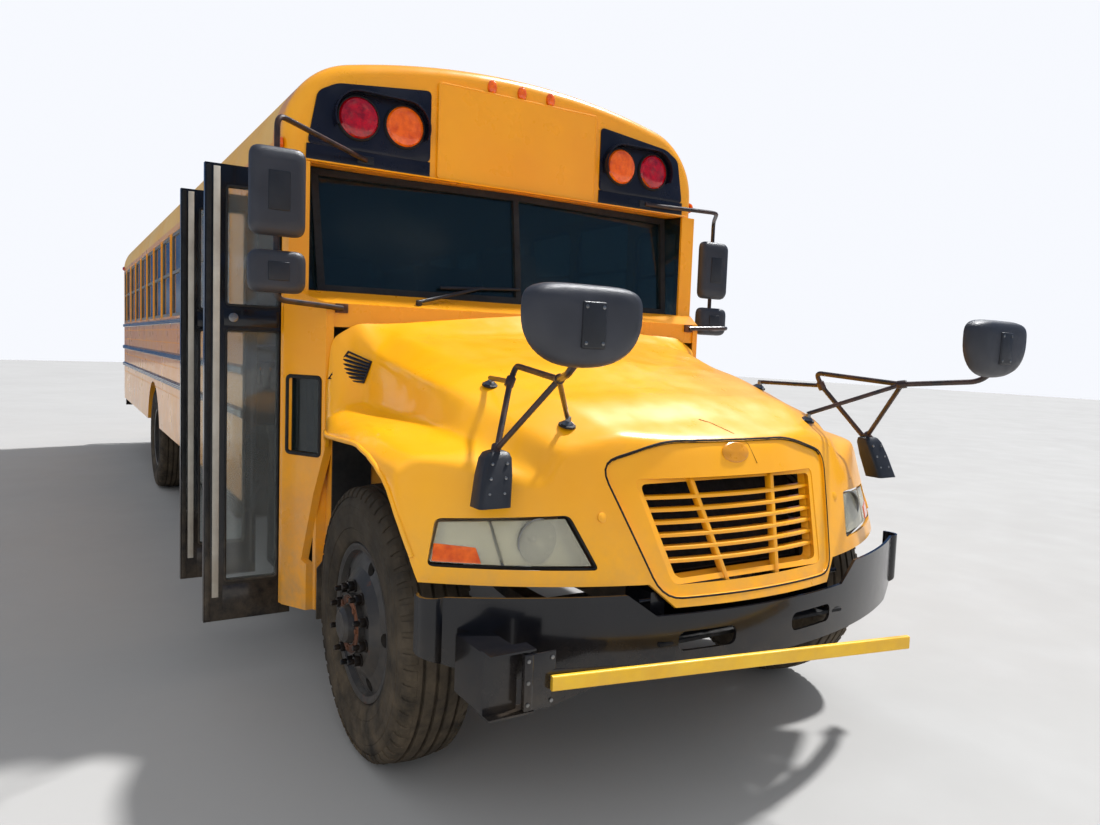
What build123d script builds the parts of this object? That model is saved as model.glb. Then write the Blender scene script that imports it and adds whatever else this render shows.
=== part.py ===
"""A full-size conventional school bus, in millimetres.

+X points forward, +Y to the bus's left and +Z up. The origin lies on the ground, on the
centre plane, midway along the bus. Places along the bus are given from the front axle.
"""

import os
from math import atan2, cos, degrees, hypot, radians, sin, sqrt

from build123d import *

# Running gear
WHEELBASE = 6400
FRONT_AXLE_X = 4605
REAR_AXLE_X = FRONT_AXLE_X - WHEELBASE
TYRE_RADIUS = 520
RIM_RADIUS = 298
RIM_WIDTH = 224
BEAD_SEAT_RADIUS = 289
FRONT_WHEEL_Y = 1000
REAR_WHEEL_Y = 890
DUAL_SPACING = 320
HUB_RADIUS = 112
SPINDLE_RADIUS = 40
KINGPIN_Y = 800
KINGPIN_RADIUS = 20
HAND_HOLES = 5
RUNNING_GAP = 0.05

# Chassis
RAIL_TOP_Z = 940
RAIL_DEPTH = 255
RAIL_OUTER_Y = 432
RAIL_FLANGE = 78
RAIL_WALL = 8
RAIL_FRONT_X = FRONT_AXLE_X + 740
SEAT_GAP = 0.3

# Body
BODY_HALF_WIDTH = 1205
WALL = 50
REAR_X = FRONT_AXLE_X - 10300
SKIRT_Z = 670
FLOOR_Z = 1100
FLOOR_THICKNESS = 40
EAVE_Z = 2500
ROOF_CORNER_RADIUS = 380
ROOF_CROWN_RADIUS = 4000
ROOF_THICKNESS = 40
CAP_REAR_X = FRONT_AXLE_X - 1120
CAP_FACE_X = FRONT_AXLE_X - 895
CAP_BOTTOM_Z = 2385
REAR_ARCH_RADIUS = 560
REAR_ARCH_Z = 540

# Side windows
WINDOW_PITCH = 700
FIRST_PILLAR_X = FRONT_AXLE_X - 9840
RIGHT_WINDOWS = 11
LEFT_WINDOWS = 12
PILLAR_WIDTH = 84
WINDOW_SILL_Z = 1745
WINDOW_HEAD_Z = 2450
WINDOW_CORNER = 80
SASH_WIDTH = 26
SASH_DEPTH = 26
GLASS = 6

# Rub rails: name, middle height, height, how far it stands out
RUB_RAILS = [
    ("belt", 1700, 46, 16),
    ("seat", 1400, 60, 20),
    ("floor", 1160, 60, 20),
]

# Entrance
DOOR_FRONT_X = FRONT_AXLE_X - 915
DOOR_REAR_X = FRONT_AXLE_X - 1735
LEAF_WIDTH = 380
LEAF_THICKNESS = 35
LEAF_LOW_Z = 290
LEAF_HIGH_Z = 2330
LEAF_EDGE_GAP = 26
PIVOT_INSET = 20
HINGE_ROD_RADIUS = 12
DOOR_HEADER_Z = 2345
STEP_DEPTH = 208
STEP_RISE = 245

# Rear emergency door
EXIT_HALF_WIDTH = 330
EXIT_LOW_Z = 1120
EXIT_HIGH_Z = 2330
EXIT_GAP = 6

# Hood
HOOD_REAR_X = FRONT_AXLE_X - 650
HOOD_SKIN = 14
HOOD_HALF_WIDTH = 1190
HOOD_REAR_HALF_WIDTH = 1068
HOOD_LOWER_Z = 820
NOSE_LOWER_Z = 745
NOSE_LOWER_Y = (365, 445)
NOSE_RADIUS = 1785
NOSE_X_AT_LAMPS = FRONT_AXLE_X + 930
NOSE_REFERENCE_Z = 850
NOSE_RAKE = 0.35
NOSE_CORNER_Y = 1130
HOOD_PIVOT = (FRONT_AXLE_X + 870, 765)
HOOD_PIVOT_Y = (438, 475)
HOOD_PIN_RADIUS = 8
GRILLE_BARS = 6
GRILLE_DEPTH = 36
LAMP_DEPTH = 40

# Half cross-sections of the hood from the front axle forward, each with (y, z) at the centre,
# upper crease, lower crease, valley, fender crown and fender roll
HOOD_SECTIONS = [
    (-650, (0, 1745), (720, 1670), (930, 1660), (1050, 1590), (1062, 1460), (1072, 1340)),
    (-500, (0, 1650), (785, 1610), (912, 1522), (935, 1318), (1035, 1296), (1130, 1235)),
    (0, (0, 1560), (670, 1500), (845, 1435), (912, 1275), (1105, 1270), (1195, 1215)),
    (450, (0, 1420), (550, 1400), (760, 1330), (862, 1235), (1075, 1205), (1195, 1120)),
    (700, (0, 1310), (450, 1300), (660, 1230), (705, 1135), (985, 1110), (1195, 1010)),
    (1040, (0, 1120), (330, 1118), (520, 1060), (560, 1010), (860, 985), (1195, 880)),
]
HOOD_BASE_Z = 600
HOOD_REAR_LOW_Z = 1085

# Cowl: each corner panel runs in from a door post, rear end first, to the hood
CORNER_REAR = (FRONT_AXLE_X - 885, 1200)
CORNER_FRONT = (HOOD_REAR_X - 7, 1072)
CORNER_THICKNESS = 30
CORNER_SIDE_VIEW = [
    (-885, 345),
    (-747, 345),
    (-747, 560),
    (-775, 575),
    (-713, 885),
    (-657, 1090),
    (-657, 1745),
    (-885, 1790),
]
COWL_LAP = 44
COWL_SKIN = 25
COWL_REACH = 15
COWL_SIDE_Z = 1000
LINER_Y = 1040
LEDGE_FRONT_X = HOOD_REAR_X - 15
LID_REAR_X = LEDGE_FRONT_X - 40
LEDGE_LOW_Z = 1640
LEDGE_FRONT_Z = 1745

# Front bumper
BUMPER_FACE_X = FRONT_AXLE_X + 980
BUMPER_RADIUS = 2120
BUMPER_HALF_WIDTH = 1146
BUMPER_LOW_Z = 548
BUMPER_TOP_Z = 803
BUMPER_CENTRE_TOP_Z = 728
BUMPER_THICKNESS = 12

# Crossing arm and stop arm
ARM_PIVOT = (FRONT_AXLE_X + 945, -930)
ARM_REST_ANGLE = 11
ARM_LENGTH = 1400
ARM_HEIGHT = 46
ARM_Z = 600
STOP_HINGE_X = FRONT_AXLE_X - 1500
STOP_HINGE_Y = BODY_HALF_WIDTH + 62
STOP_WIDTH = 457
STOP_Z = 1280


def block(x, y, z):
    """A box between two limits along each axis."""
    return Pos((x[0] + x[1]) / 2, (y[0] + y[1]) / 2, (z[0] + z[1]) / 2) * Box(
        abs(x[1] - x[0]), abs(y[1] - y[0]), abs(z[1] - z[0])
    )


def both_sides(shape):
    """The shape and its mirror image across the centre plane."""
    return [shape, mirror(shape, about=Plane.XZ)]


def side_profile(points, y_from, y_to):
    """A plate drawn in side view, as (x, z) points, between two widths."""
    wire = Polyline(*[(x, y_from, z) for x, z in points], close=True)
    return extrude(make_face(wire), amount=y_to - y_from, dir=(0, 1, 0))


def front_profile(points, x_from, x_to):
    """A plate drawn in front view, as (y, z) points, between two places along the bus."""
    wire = Polyline(*[(x_from, y, z) for y, z in points], close=True)
    return extrude(make_face(wire), amount=x_to - x_from, dir=(1, 0, 0))


def plan_profile(points, z_from, z_to):
    """A plate drawn from above, as (x, y) points, between two heights."""
    wire = Polyline(*[(x, y, z_from) for x, y in points], close=True)
    return extrude(make_face(wire), amount=z_to - z_from, dir=(0, 0, 1))


def rod_along_y(x, z, radius, y_from, y_to):
    """A round bar across the bus."""
    return Pos(x, (y_from + y_to) / 2, z) * Rot(90, 0, 0) * Cylinder(radius, abs(y_to - y_from))


def rod_along_x(y, z, radius, x_from, x_to):
    """A round bar along the bus."""
    return Pos((x_from + x_to) / 2, y, z) * Rot(0, 90, 0) * Cylinder(radius, abs(x_to - x_from))


def rod_along_z(x, y, radius, z_from, z_to):
    """An upright round bar."""
    return Pos(x, y, (z_from + z_to) / 2) * Cylinder(radius, abs(z_to - z_from))


def tube_between(start, end, radius):
    """A round bar from one point to another."""
    run = Line(start, end)
    return sweep(Plane(origin=start, z_dir=run % 0) * Circle(radius), path=run)


def bent_tube(points, bend, radius):
    """A round bar along straight runs with rounded bends."""
    path = FilletPolyline(*points, radius=bend)
    return sweep(Plane(origin=points[0], z_dir=path % 0) * Circle(radius), path=path)


def joined(shapes):
    """One solid from several that touch or overlap."""
    whole = shapes[0]
    for shape in shapes[1:]:
        whole = whole + shape
    return whole


# Body shell


def roof_region(x, inset):
    """The roof's rounded outline above the eaves, at one place along the bus."""
    corner = ROOF_CORNER_RADIUS - inset
    crown = ROOF_CROWN_RADIUS - inset
    corner_y = BODY_HALF_WIDTH - ROOF_CORNER_RADIUS
    crown_z = EAVE_Z - sqrt((ROOF_CROWN_RADIUS - ROOF_CORNER_RADIUS) ** 2 - corner_y**2)
    lean = atan2(corner_y, EAVE_Z - crown_z)
    middle = (radians(90) + lean) / 2
    joint_y = crown * sin(lean)
    joint_z = crown_z + crown * cos(lean)
    bulge_y = corner_y + corner * sin(middle)
    bulge_z = EAVE_Z + corner * cos(middle)
    edge_y = BODY_HALF_WIDTH - inset
    edges = [
        ThreePointArc((x, -edge_y, EAVE_Z), (x, -bulge_y, bulge_z), (x, -joint_y, joint_z)),
        ThreePointArc((x, -joint_y, joint_z), (x, 0, crown_z + crown), (x, joint_y, joint_z)),
        ThreePointArc((x, joint_y, joint_z), (x, bulge_y, bulge_z), (x, edge_y, EAVE_Z)),
        Line((x, edge_y, EAVE_Z), (x, -edge_y, EAVE_Z)),
    ]
    return make_face(edges)


def roof_solid(x_from, x_to, inset):
    return extrude(roof_region(x_from, inset), amount=x_to - x_from, dir=(1, 0, 0))


def roof_panel():
    outer = roof_solid(REAR_X + WALL, CAP_REAR_X, 0)
    inner = roof_solid(REAR_X + WALL, CAP_REAR_X, ROOF_THICKNESS)
    return outer - inner


def front_cap():
    """The roof's moulded front end, with the face that carries the warning lamps."""
    below = block(
        (CAP_REAR_X, CAP_FACE_X), (-BODY_HALF_WIDTH, BODY_HALF_WIDTH), (CAP_BOTTOM_Z, EAVE_Z)
    )
    outer = roof_solid(CAP_REAR_X, CAP_FACE_X, 0) + below
    front_edges = outer.edges().filter_by_position(Axis.X, CAP_FACE_X - 1, CAP_FACE_X + 1)
    rim = [edge for edge in front_edges if edge.center().Z > CAP_BOTTOM_Z + 5]
    outer = fillet(rim, 70)
    hollow_front = CAP_FACE_X - 75
    inner = roof_solid(CAP_REAR_X, hollow_front, ROOF_THICKNESS)
    inner_y = BODY_HALF_WIDTH - WALL
    inner += block((CAP_REAR_X, hollow_front), (-inner_y, inner_y), (CAP_BOTTOM_Z - 1, EAVE_Z + 1))
    return outer - inner


def window_opening(span, y_from, y_to, inset=0):
    """The block that a side window fills, with its upper corners rounded."""
    radius = WINDOW_CORNER - inset
    x_from, x_to = span[0] + inset, span[1] - inset
    low, high = WINDOW_SILL_Z + inset, span[2] - inset
    slant = radius * (1 - cos(radians(45)))
    edges = [
        Line((x_from, y_from, low), (x_to, y_from, low)),
        Line((x_to, y_from, low), (x_to, y_from, high - radius)),
        ThreePointArc(
            (x_to, y_from, high - radius),
            (x_to - slant, y_from, high - slant),
            (x_to - radius, y_from, high),
        ),
        Line((x_to - radius, y_from, high), (x_from + radius, y_from, high)),
        ThreePointArc(
            (x_from + radius, y_from, high),
            (x_from + slant, y_from, high - slant),
            (x_from, y_from, high - radius),
        ),
        Line((x_from, y_from, high - radius), (x_from, y_from, low)),
    ]
    return extrude(make_face(edges), amount=y_to - y_from, dir=(0, 1, 0))


def window_spans(count):
    """Rear end, front end and top of each side window, from the narrow rear one forward."""
    half = PILLAR_WIDTH / 2
    spans = [(REAR_X + WALL + 60, FIRST_PILLAR_X - half, WINDOW_HEAD_Z)]
    for i in range(count):
        pillar_x = FIRST_PILLAR_X + i * WINDOW_PITCH
        spans.append((pillar_x + half, pillar_x + WINDOW_PITCH - half, WINDOW_HEAD_Z))
    return spans


DRIVER_WINDOW = (
    FIRST_PILLAR_X + LEFT_WINDOWS * WINDOW_PITCH + PILLAR_WIDTH / 2,
    DOOR_FRONT_X - 70,
    CAP_BOTTOM_Z - 45,
)
RIGHT_SPANS = window_spans(RIGHT_WINDOWS)
LEFT_SPANS = window_spans(LEFT_WINDOWS) + [DRIVER_WINDOW]


def side_wall(spans, front_x, sign):
    """A whole body side with its window openings and rear wheel arch; sign is +1 on the left."""
    outer = sign * BODY_HALF_WIDTH
    inner = sign * (BODY_HALF_WIDTH - WALL)
    low_y, high_y = min(inner, outer), max(inner, outer)
    wall = block((REAR_X + WALL, front_x), (low_y, high_y), (SKIRT_Z, EAVE_Z))
    if front_x > CAP_REAR_X:
        wall -= block(
            (CAP_REAR_X - SEAT_GAP, front_x + 1),
            (low_y - 1, high_y + 1),
            (CAP_BOTTOM_Z - SEAT_GAP, EAVE_Z + 1),
        )
    for span in spans:
        wall -= window_opening(span, low_y - 1, high_y + 1)
    wall -= rod_along_y(REAR_AXLE_X, REAR_ARCH_Z, REAR_ARCH_RADIUS, low_y - 1, high_y + 1)
    return wall


def window_sashes(spans, sign):
    """The split metal sash of every side window, each in its own opening."""
    outer = sign * (BODY_HALF_WIDTH - 4)
    inner = sign * (BODY_HALF_WIDTH - 4 - SASH_DEPTH)
    low_y, high_y = min(inner, outer), max(inner, outer)
    frames = []
    for span in spans:
        frame = window_opening(span, low_y, high_y, SEAT_GAP)
        for low, high in pane_heights(span):
            frame -= block(
                (span[0] + SASH_WIDTH, span[1] - SASH_WIDTH), (low_y - 1, high_y + 1), (low, high)
            )
        frames.append(frame)
    return frames


def pane_heights(span):
    """The lower and the upper pane of a split sash."""
    middle = (WINDOW_SILL_Z + span[2]) / 2 + 20
    half = SASH_WIDTH / 2
    return [
        (WINDOW_SILL_Z + SASH_WIDTH, middle - half),
        (middle + half, span[2] - SASH_WIDTH),
    ]


def side_glass(spans, sign):
    middle = sign * (BODY_HALF_WIDTH - 4 - SASH_DEPTH / 2)
    panes = []
    for span in spans:
        for low, high in pane_heights(span):
            panes.append(
                block(
                    (span[0] + SASH_WIDTH + SEAT_GAP, span[1] - SASH_WIDTH - SEAT_GAP),
                    (middle - GLASS / 2, middle + GLASS / 2),
                    (low + SEAT_GAP, high - SEAT_GAP),
                )
            )
    return panes


def rub_rails():
    """The black rails along both sides, in lengths between the rear corner and the front."""
    rails = []
    for _, middle, height, proud in RUB_RAILS:
        for sign, front_x in ((-1, DOOR_REAR_X), (1, DOOR_FRONT_X)):
            near = sign * BODY_HALF_WIDTH
            far = sign * (BODY_HALF_WIDTH + proud)
            taper = height / 5
            points = [
                (near, middle - height / 2),
                (far, middle - height / 2 + taper),
                (far, middle + height / 2 - taper),
                (near, middle + height / 2),
            ]
            rails.append(front_profile(points, REAR_X + WALL, front_x))
    return rails


REAR_WINDOWS = [(-1080, -430), (430, 1080)]


def rear_wall():
    """The flat rear end with the emergency door's opening and a window on each side of it."""
    half = BODY_HALF_WIDTH
    wall = roof_solid(REAR_X, REAR_X + WALL, 0)
    wall += block((REAR_X, REAR_X + WALL), (-half, half), (SKIRT_Z, EAVE_Z))
    rim = [
        edge
        for edge in wall.edges().filter_by_position(Axis.X, REAR_X - 1, REAR_X + 1)
        if edge.center().Z > SKIRT_Z + 5
    ]
    wall = fillet(rim, 40)
    cut = (REAR_X - 1, REAR_X + WALL + 1)
    wall -= block(cut, (-EXIT_HALF_WIDTH, EXIT_HALF_WIDTH), (EXIT_LOW_Z, EXIT_HIGH_Z))
    for y_from, y_to in REAR_WINDOWS:
        wall -= block(cut, (y_from, y_to), (WINDOW_SILL_Z, WINDOW_HEAD_Z - 40))
    x, y = EXIT_PIVOT
    for z in EXIT_HINGES:
        for low in (z - 62, z + 42):
            wall += block((x - 8, REAR_X + 1), (y - 24, y + 1), (low, low + 20))
        wall += rod_along_z(x, y, EXIT_PIN_RADIUS, z - 62, z + 62)
    return wall


def rear_glass():
    panes = []
    for y_from, y_to in REAR_WINDOWS:
        panes.append(
            block(
                (REAR_X + 20, REAR_X + 20 + GLASS),
                (y_from + SEAT_GAP, y_to - SEAT_GAP),
                (WINDOW_SILL_Z + SEAT_GAP, WINDOW_HEAD_Z - 40 - SEAT_GAP),
            )
        )
    return panes


EXIT_PANES = [(1260, 1620), (1740, 2250)]
EXIT_STILE = 90
EXIT_PIVOT = (REAR_X - 16, -EXIT_HALF_WIDTH)
EXIT_HINGES = [1200, 1690, 2220]
EXIT_PIN_RADIUS = 5


def emergency_door():
    half = EXIT_HALF_WIDTH - EXIT_GAP
    door = block(
        (REAR_X - 4, REAR_X + WALL - 6),
        (-half, half),
        (EXIT_LOW_Z + EXIT_GAP, EXIT_HIGH_Z - EXIT_GAP),
    )
    for low, high in EXIT_PANES:
        door -= block(
            (REAR_X - 10, REAR_X + WALL), (-half + EXIT_STILE, half - EXIT_STILE), (low, high)
        )
    handle = block((REAR_X - 40, REAR_X - 4), (half - 70, half - 40), (1450, 1640))
    handle -= block((REAR_X - 28, REAR_X - 4), (half - 80, half - 30), (1480, 1610))
    x, y = EXIT_PIVOT
    straps = []
    for z in EXIT_HINGES:
        strap = rod_along_z(x, y, 10, z - 40, z + 40)
        strap += block((x - 8, REAR_X - 3), (y, y + 90), (z - 38, z + 38))
        straps.append(strap - rod_along_z(x, y, EXIT_PIN_RADIUS + RUNNING_GAP, z - 41, z + 41))
    return joined([door, handle] + straps)


def emergency_glass():
    half = EXIT_HALF_WIDTH - EXIT_GAP - EXIT_STILE - SEAT_GAP
    panes = []
    for low, high in EXIT_PANES:
        panes.append(
            block(
                (REAR_X + 16, REAR_X + 16 + GLASS),
                (-half, half),
                (low + SEAT_GAP, high - SEAT_GAP),
            )
        )
    return panes


# Front of the body

FIREWALL_X = HOOD_REAR_X - 5
FIREWALL_THICKNESS = 20
WINDSHIELD_LOW_Z = 1805
QUARTER_WINDOW = ((FRONT_AXLE_X - 853, FRONT_AXLE_X - 690), (1070, 1405))


def full_width(outline):
    """A front-view half outline, from the side up to the centre, drawn on both sides."""
    right = [(-y, z) for y, z in outline if y > 0]
    top = [(0, z) for y, z in outline if y == 0]
    left = [(-y, z) for y, z in reversed(right)]
    return right + top + left


def cowl_outline(inset):
    """The hood's rearmost section moved in, so that the hood laps over the cowl."""
    outline = [(CORNER_FRONT[1] - CORNER_THICKNESS - inset, COWL_SIDE_Z)]
    for y, z in reversed(HOOD_SECTIONS[0][2:]):
        outline.append((y - COWL_LAP - inset, z - COWL_LAP - inset))
    outline.append((0, HOOD_SECTIONS[0][1][1] - COWL_LAP - inset))
    return full_width(outline)


def corner_strip(near, far, low, high):
    """The left corner panel between two depths behind its outer face."""
    (rear_x, rear_y), (front_x, front_y) = CORNER_REAR, CORNER_FRONT
    length = hypot(front_x - rear_x, front_y - rear_y)
    along_x, along_y = (front_x - rear_x) / length, (front_y - rear_y) / length
    points = []
    for x, y, run, depth in (
        (rear_x, rear_y, -60, near),
        (front_x, front_y, 60, near),
        (front_x, front_y, 60, far),
        (rear_x, rear_y, -60, far),
    ):
        points.append((x + along_x * run + along_y * depth, y + along_y * run - along_x * depth))
    return plan_profile(points, low, high)


def corner_panel():
    outline = [(FRONT_AXLE_X + x, z) for x, z in CORNER_SIDE_VIEW]
    panel = corner_strip(0, CORNER_THICKNESS, 300, 1800) & side_profile(outline, 900, 1300)
    (x_from, x_to), (low, high) = QUARTER_WINDOW
    return panel - block((x_from, x_to), (900, 1300), (low, high))


def cowl():
    """The apron under the windshield, the firewall, the angled corners and the door posts."""
    lid = front_profile(cowl_outline(0), LID_REAR_X, HOOD_REAR_X + COWL_REACH)
    lid -= front_profile(cowl_outline(COWL_SKIN), LEDGE_FRONT_X - 60, HOOD_REAR_X + 40)
    lid -= block((LEDGE_FRONT_X - 60, HOOD_REAR_X + 40), (-1200, 1200), (900, 1300))
    notch_y = RAIL_OUTER_Y + 15
    wall = front_profile(
        [
            (-LINER_Y, 640),
            (-notch_y, 640),
            (-notch_y, RAIL_TOP_Z + 10),
            (notch_y, RAIL_TOP_Z + 10),
            (notch_y, 640),
            (LINER_Y, 640),
            (LINER_Y, 1530),
            (0, 1680),
            (-LINER_Y, 1530),
        ],
        FIREWALL_X - FIREWALL_THICKNESS,
        FIREWALL_X,
    )
    step_x = FIREWALL_X - 80
    liner = plan_profile(
        [
            (FIREWALL_X - 10, LINER_Y),
            (step_x, LINER_Y),
            (step_x, LINER_Y + 44),
            (step_x - 15, LINER_Y + 53),
            (step_x - 15, LINER_Y - 15),
            (FIREWALL_X - 10, LINER_Y - 15),
        ],
        CORNER_SIDE_VIEW[0][1],
        1530,
    )
    ledge = side_profile(
        [
            (FRONT_AXLE_X - 965, LEDGE_LOW_Z),
            (FRONT_AXLE_X - 965, WINDSHIELD_LOW_Z),
            (FRONT_AXLE_X - 850, WINDSHIELD_LOW_Z),
            (LEDGE_FRONT_X, LEDGE_FRONT_Z),
            (LEDGE_FRONT_X, LEDGE_LOW_Z),
        ],
        -1250,
        1250,
    )
    inner_y = POST_INNER_Y - 6
    half = [
        (FRONT_AXLE_X - 965, inner_y),
        (DOOR_FRONT_X, inner_y),
        (DOOR_FRONT_X, CORNER_REAR[1]),
        CORNER_REAR,
        (LEDGE_FRONT_X, CORNER_FRONT[1] + 4),
    ]
    ledge = ledge & plan_profile(
        half + [(x, -y) for x, y in reversed(half)], LEDGE_LOW_Z - 1, WINDSHIELD_LOW_Z + 1
    )
    return joined([ledge, lid, wall] + both_sides(liner) + both_sides(corner_panel()) + corner_posts())


def cowl_glass():
    (x_from, x_to), (low, high) = QUARTER_WINDOW
    pane = corner_strip(12, 12 + GLASS, low + SEAT_GAP, high - SEAT_GAP)
    pane = pane & block((x_from + SEAT_GAP, x_to - SEAT_GAP), (900, 1300), (low, high))
    return both_sides(pane)


POST_FRONT_X = FRONT_AXLE_X - 865
POST_INNER_Y = 1096
PANE_FRAME = 34


def windshield_corners():
    """The outer edge of the windshield opening: x, y and z at the foot and at the head."""
    return (
        (FRONT_AXLE_X - 914, 1040, WINDSHIELD_LOW_Z),
        (FRONT_AXLE_X - 990, 1062, CAP_BOTTOM_Z - SEAT_GAP),
    )


WINDSHIELD_CENTRE_FOOT_X = FRONT_AXLE_X - 850
WINDSHIELD_CENTRE_HEAD_X = FRONT_AXLE_X - 925


def windshield_slab(front, back):
    """The raked, slightly pointed slab that frame and glass are cut from."""
    (foot_x, foot_y, foot_z), (head_x, head_y, head_z) = windshield_corners()
    levels = []
    for outer_x, centre_x, half, z in (
        (foot_x, WINDSHIELD_CENTRE_FOOT_X, foot_y, foot_z),
        (head_x, WINDSHIELD_CENTRE_HEAD_X, head_y, head_z),
    ):
        points = [
            (outer_x + front, -half, z),
            (centre_x + front, 0, z),
            (outer_x + front, half, z),
            (outer_x + back, half, z),
            (centre_x + back, 0, z),
            (outer_x + back, -half, z),
        ]
        levels.append(make_face(Polyline(*points, close=True)))
    return loft(levels, ruled=True)


def pane_prism(inset):
    """The two windshield openings in front view, either side of the centre post."""
    (_, foot_y, foot_z), (_, head_y, head_z) = windshield_corners()
    low, high = foot_z + PANE_FRAME + inset, head_z - PANE_FRAME - inset
    outer = PANE_FRAME + inset
    post = 16 + inset
    half = [
        (post, low),
        (foot_y - outer, low),
        (head_y - outer, high),
        (post, high),
    ]
    x_from, x_to = FRONT_AXLE_X - 1100, FRONT_AXLE_X - 700
    return both_sides(front_profile(half, x_from, x_to))


def door_header():
    """The panel over the entrance, up to the roof and under the cap."""
    low_y, high_y = -BODY_HALF_WIDTH, -BODY_HALF_WIDTH + WALL
    rear = block((DOOR_REAR_X, CAP_REAR_X - SEAT_GAP), (low_y, high_y), (DOOR_HEADER_Z, EAVE_Z))
    front = block(
        (CAP_REAR_X - 10, DOOR_FRONT_X - SEAT_GAP),
        (low_y, high_y),
        (DOOR_HEADER_Z, CAP_BOTTOM_Z - SEAT_GAP),
    )
    return rear + front


def windshield_frame():
    frame = windshield_slab(0, -45)
    for prism in pane_prism(0):
        frame -= prism
    return frame


def windshield_glass():
    sheet = windshield_slab(-20, -20 - GLASS)
    return [(sheet & prism).solids()[0] for prism in pane_prism(SEAT_GAP)]


def corner_posts():
    """The posts ahead of the doors, from the foot of the cowl to the cap."""
    post = plan_profile(
        [
            (POST_FRONT_X, CORNER_REAR[1] - 12),
            (DOOR_FRONT_X, BODY_HALF_WIDTH),
            (DOOR_FRONT_X, POST_INNER_Y),
            (POST_FRONT_X, POST_INNER_Y),
        ],
        CORNER_SIDE_VIEW[0][1],
        CAP_BOTTOM_Z - SEAT_GAP,
    )
    return both_sides(post)


def corner_glass():
    """The narrow fixed panes between the windshield and the corner posts."""
    (foot_x, foot_y, foot_z), (head_x, head_y, head_z) = windshield_corners()
    levels = []
    for x, y, z in ((foot_x, foot_y, foot_z + SEAT_GAP), (head_x, head_y, head_z)):
        inner = y + SEAT_GAP
        outer_x = POST_FRONT_X - 15
        outer_y = POST_INNER_Y - SEAT_GAP
        levels.append(
            make_face(
                Polyline(
                    (x - 10, inner, z),
                    (outer_x, outer_y, z),
                    (outer_x - GLASS, outer_y, z),
                    (x - 10 - GLASS, inner, z),
                    close=True,
                )
            )
        )
    return both_sides(loft(levels, ruled=True))


# Hood


def hood_top(inset):
    """The hood's loft from its cross-sections, wider than its sides and open to be trimmed."""
    faces = []
    for x, *half in HOOD_SECTIONS:
        right = [(-(y - inset if y else 0), z - inset) for y, z in reversed(half)]
        left = [(-y, z) for y, z in reversed(right[:-1])]
        outer = 1250 - inset
        points = [(-outer, HOOD_BASE_Z), (-outer, right[0][1] - 60)] + right + left
        points += [(outer, right[0][1] - 60), (outer, HOOD_BASE_Z)]
        place = FRONT_AXLE_X + x
        faces.append(make_face(Polyline(*[(place, y, z) for y, z in points], close=True)))
    return loft(faces, ruled=True)


def nose_x(z):
    """How far forward the nose reaches on the centre plane, at a height."""
    return NOSE_X_AT_LAMPS - NOSE_RAKE * (z - NOSE_REFERENCE_Z)


def hood_plan(inset):
    """The hood's outline from above, with the raked and rounded nose."""
    levels = []
    for z in (HOOD_BASE_Z - 50, 1850):
        tip = nose_x(z) - inset
        corner_y = NOSE_CORNER_Y - inset
        corner_x = tip - (NOSE_RADIUS - sqrt(NOSE_RADIUS**2 - NOSE_CORNER_Y**2))
        side_y = HOOD_HALF_WIDTH - inset
        rear_y = HOOD_REAR_HALF_WIDTH - inset
        bend_x = FRONT_AXLE_X + 150
        flare_x = FRONT_AXLE_X - 250
        rear_x = HOOD_REAR_X - 50
        edges = [
            ThreePointArc((corner_x, -corner_y, z), (tip, 0, z), (corner_x, corner_y, z)),
            Line((corner_x, corner_y, z), (bend_x, side_y, z)),
            Line((bend_x, side_y, z), (flare_x, side_y, z)),
            Line((flare_x, side_y, z), (HOOD_REAR_X, rear_y, z)),
            Line((HOOD_REAR_X, rear_y, z), (rear_x, rear_y, z)),
            Line((rear_x, rear_y, z), (rear_x, -rear_y, z)),
            Line((rear_x, -rear_y, z), (HOOD_REAR_X, -rear_y, z)),
            Line((HOOD_REAR_X, -rear_y, z), (flare_x, -side_y, z)),
            Line((flare_x, -side_y, z), (bend_x, -side_y, z)),
            Line((bend_x, -side_y, z), (corner_x, -corner_y, z)),
        ]
        levels.append(make_face(edges))
    return loft(levels, ruled=True)


GRILLE_OUTLINE = [(-357, 812), (357, 812), (436, 1149), (-436, 1149)]
GRILLE_BORDER = 26
GRILLE_RIB_LOW = (105, 145)
GRILLE_RIB_HIGH = (185, 225)
LAMP_OUTLINE = [(1052, 1017), (668, 1037), (600, 889), (1088, 885)]
CORNER_LAMP_Y = (900, 880)


def spread(outline, margin):
    """The outline moved out by a margin, point by point from its middle."""
    middle_y = sum(y for y, z in outline) / len(outline)
    middle_z = sum(z for y, z in outline) / len(outline)
    moved = []
    for y, z in outline:
        moved.append(
            (y + margin * (1 if y > middle_y else -1), z + margin * (1 if z > middle_z else -1))
        )
    return moved


def front_prism(outline):
    return front_profile(outline, FRONT_AXLE_X + 300, FRONT_AXLE_X + 1200)


def wheel_arch():
    """The opening over the front wheel in side view."""
    x = FRONT_AXLE_X
    y = 860
    edges = [
        Line((x - 760, y, 500), (x - 655, y, HOOD_REAR_LOW_Z)),
        ThreePointArc((x - 655, y, HOOD_REAR_LOW_Z), (x - 605, y, 1160), (x - 480, y, 1190)),
        Line((x - 480, y, 1190), (x + 60, y, 1205)),
        ThreePointArc((x + 60, y, 1205), (x + 250, y, 1168), (x + 385, y, 1095)),
        Line((x + 385, y, 1095), (x + 560, y, 800)),
        Line((x + 560, y, 800), (x + 570, y, 500)),
        Line((x + 570, y, 500), (x - 760, y, 500)),
    ]
    return extrude(make_face(edges), amount=400, dir=(0, 1, 0))


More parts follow.
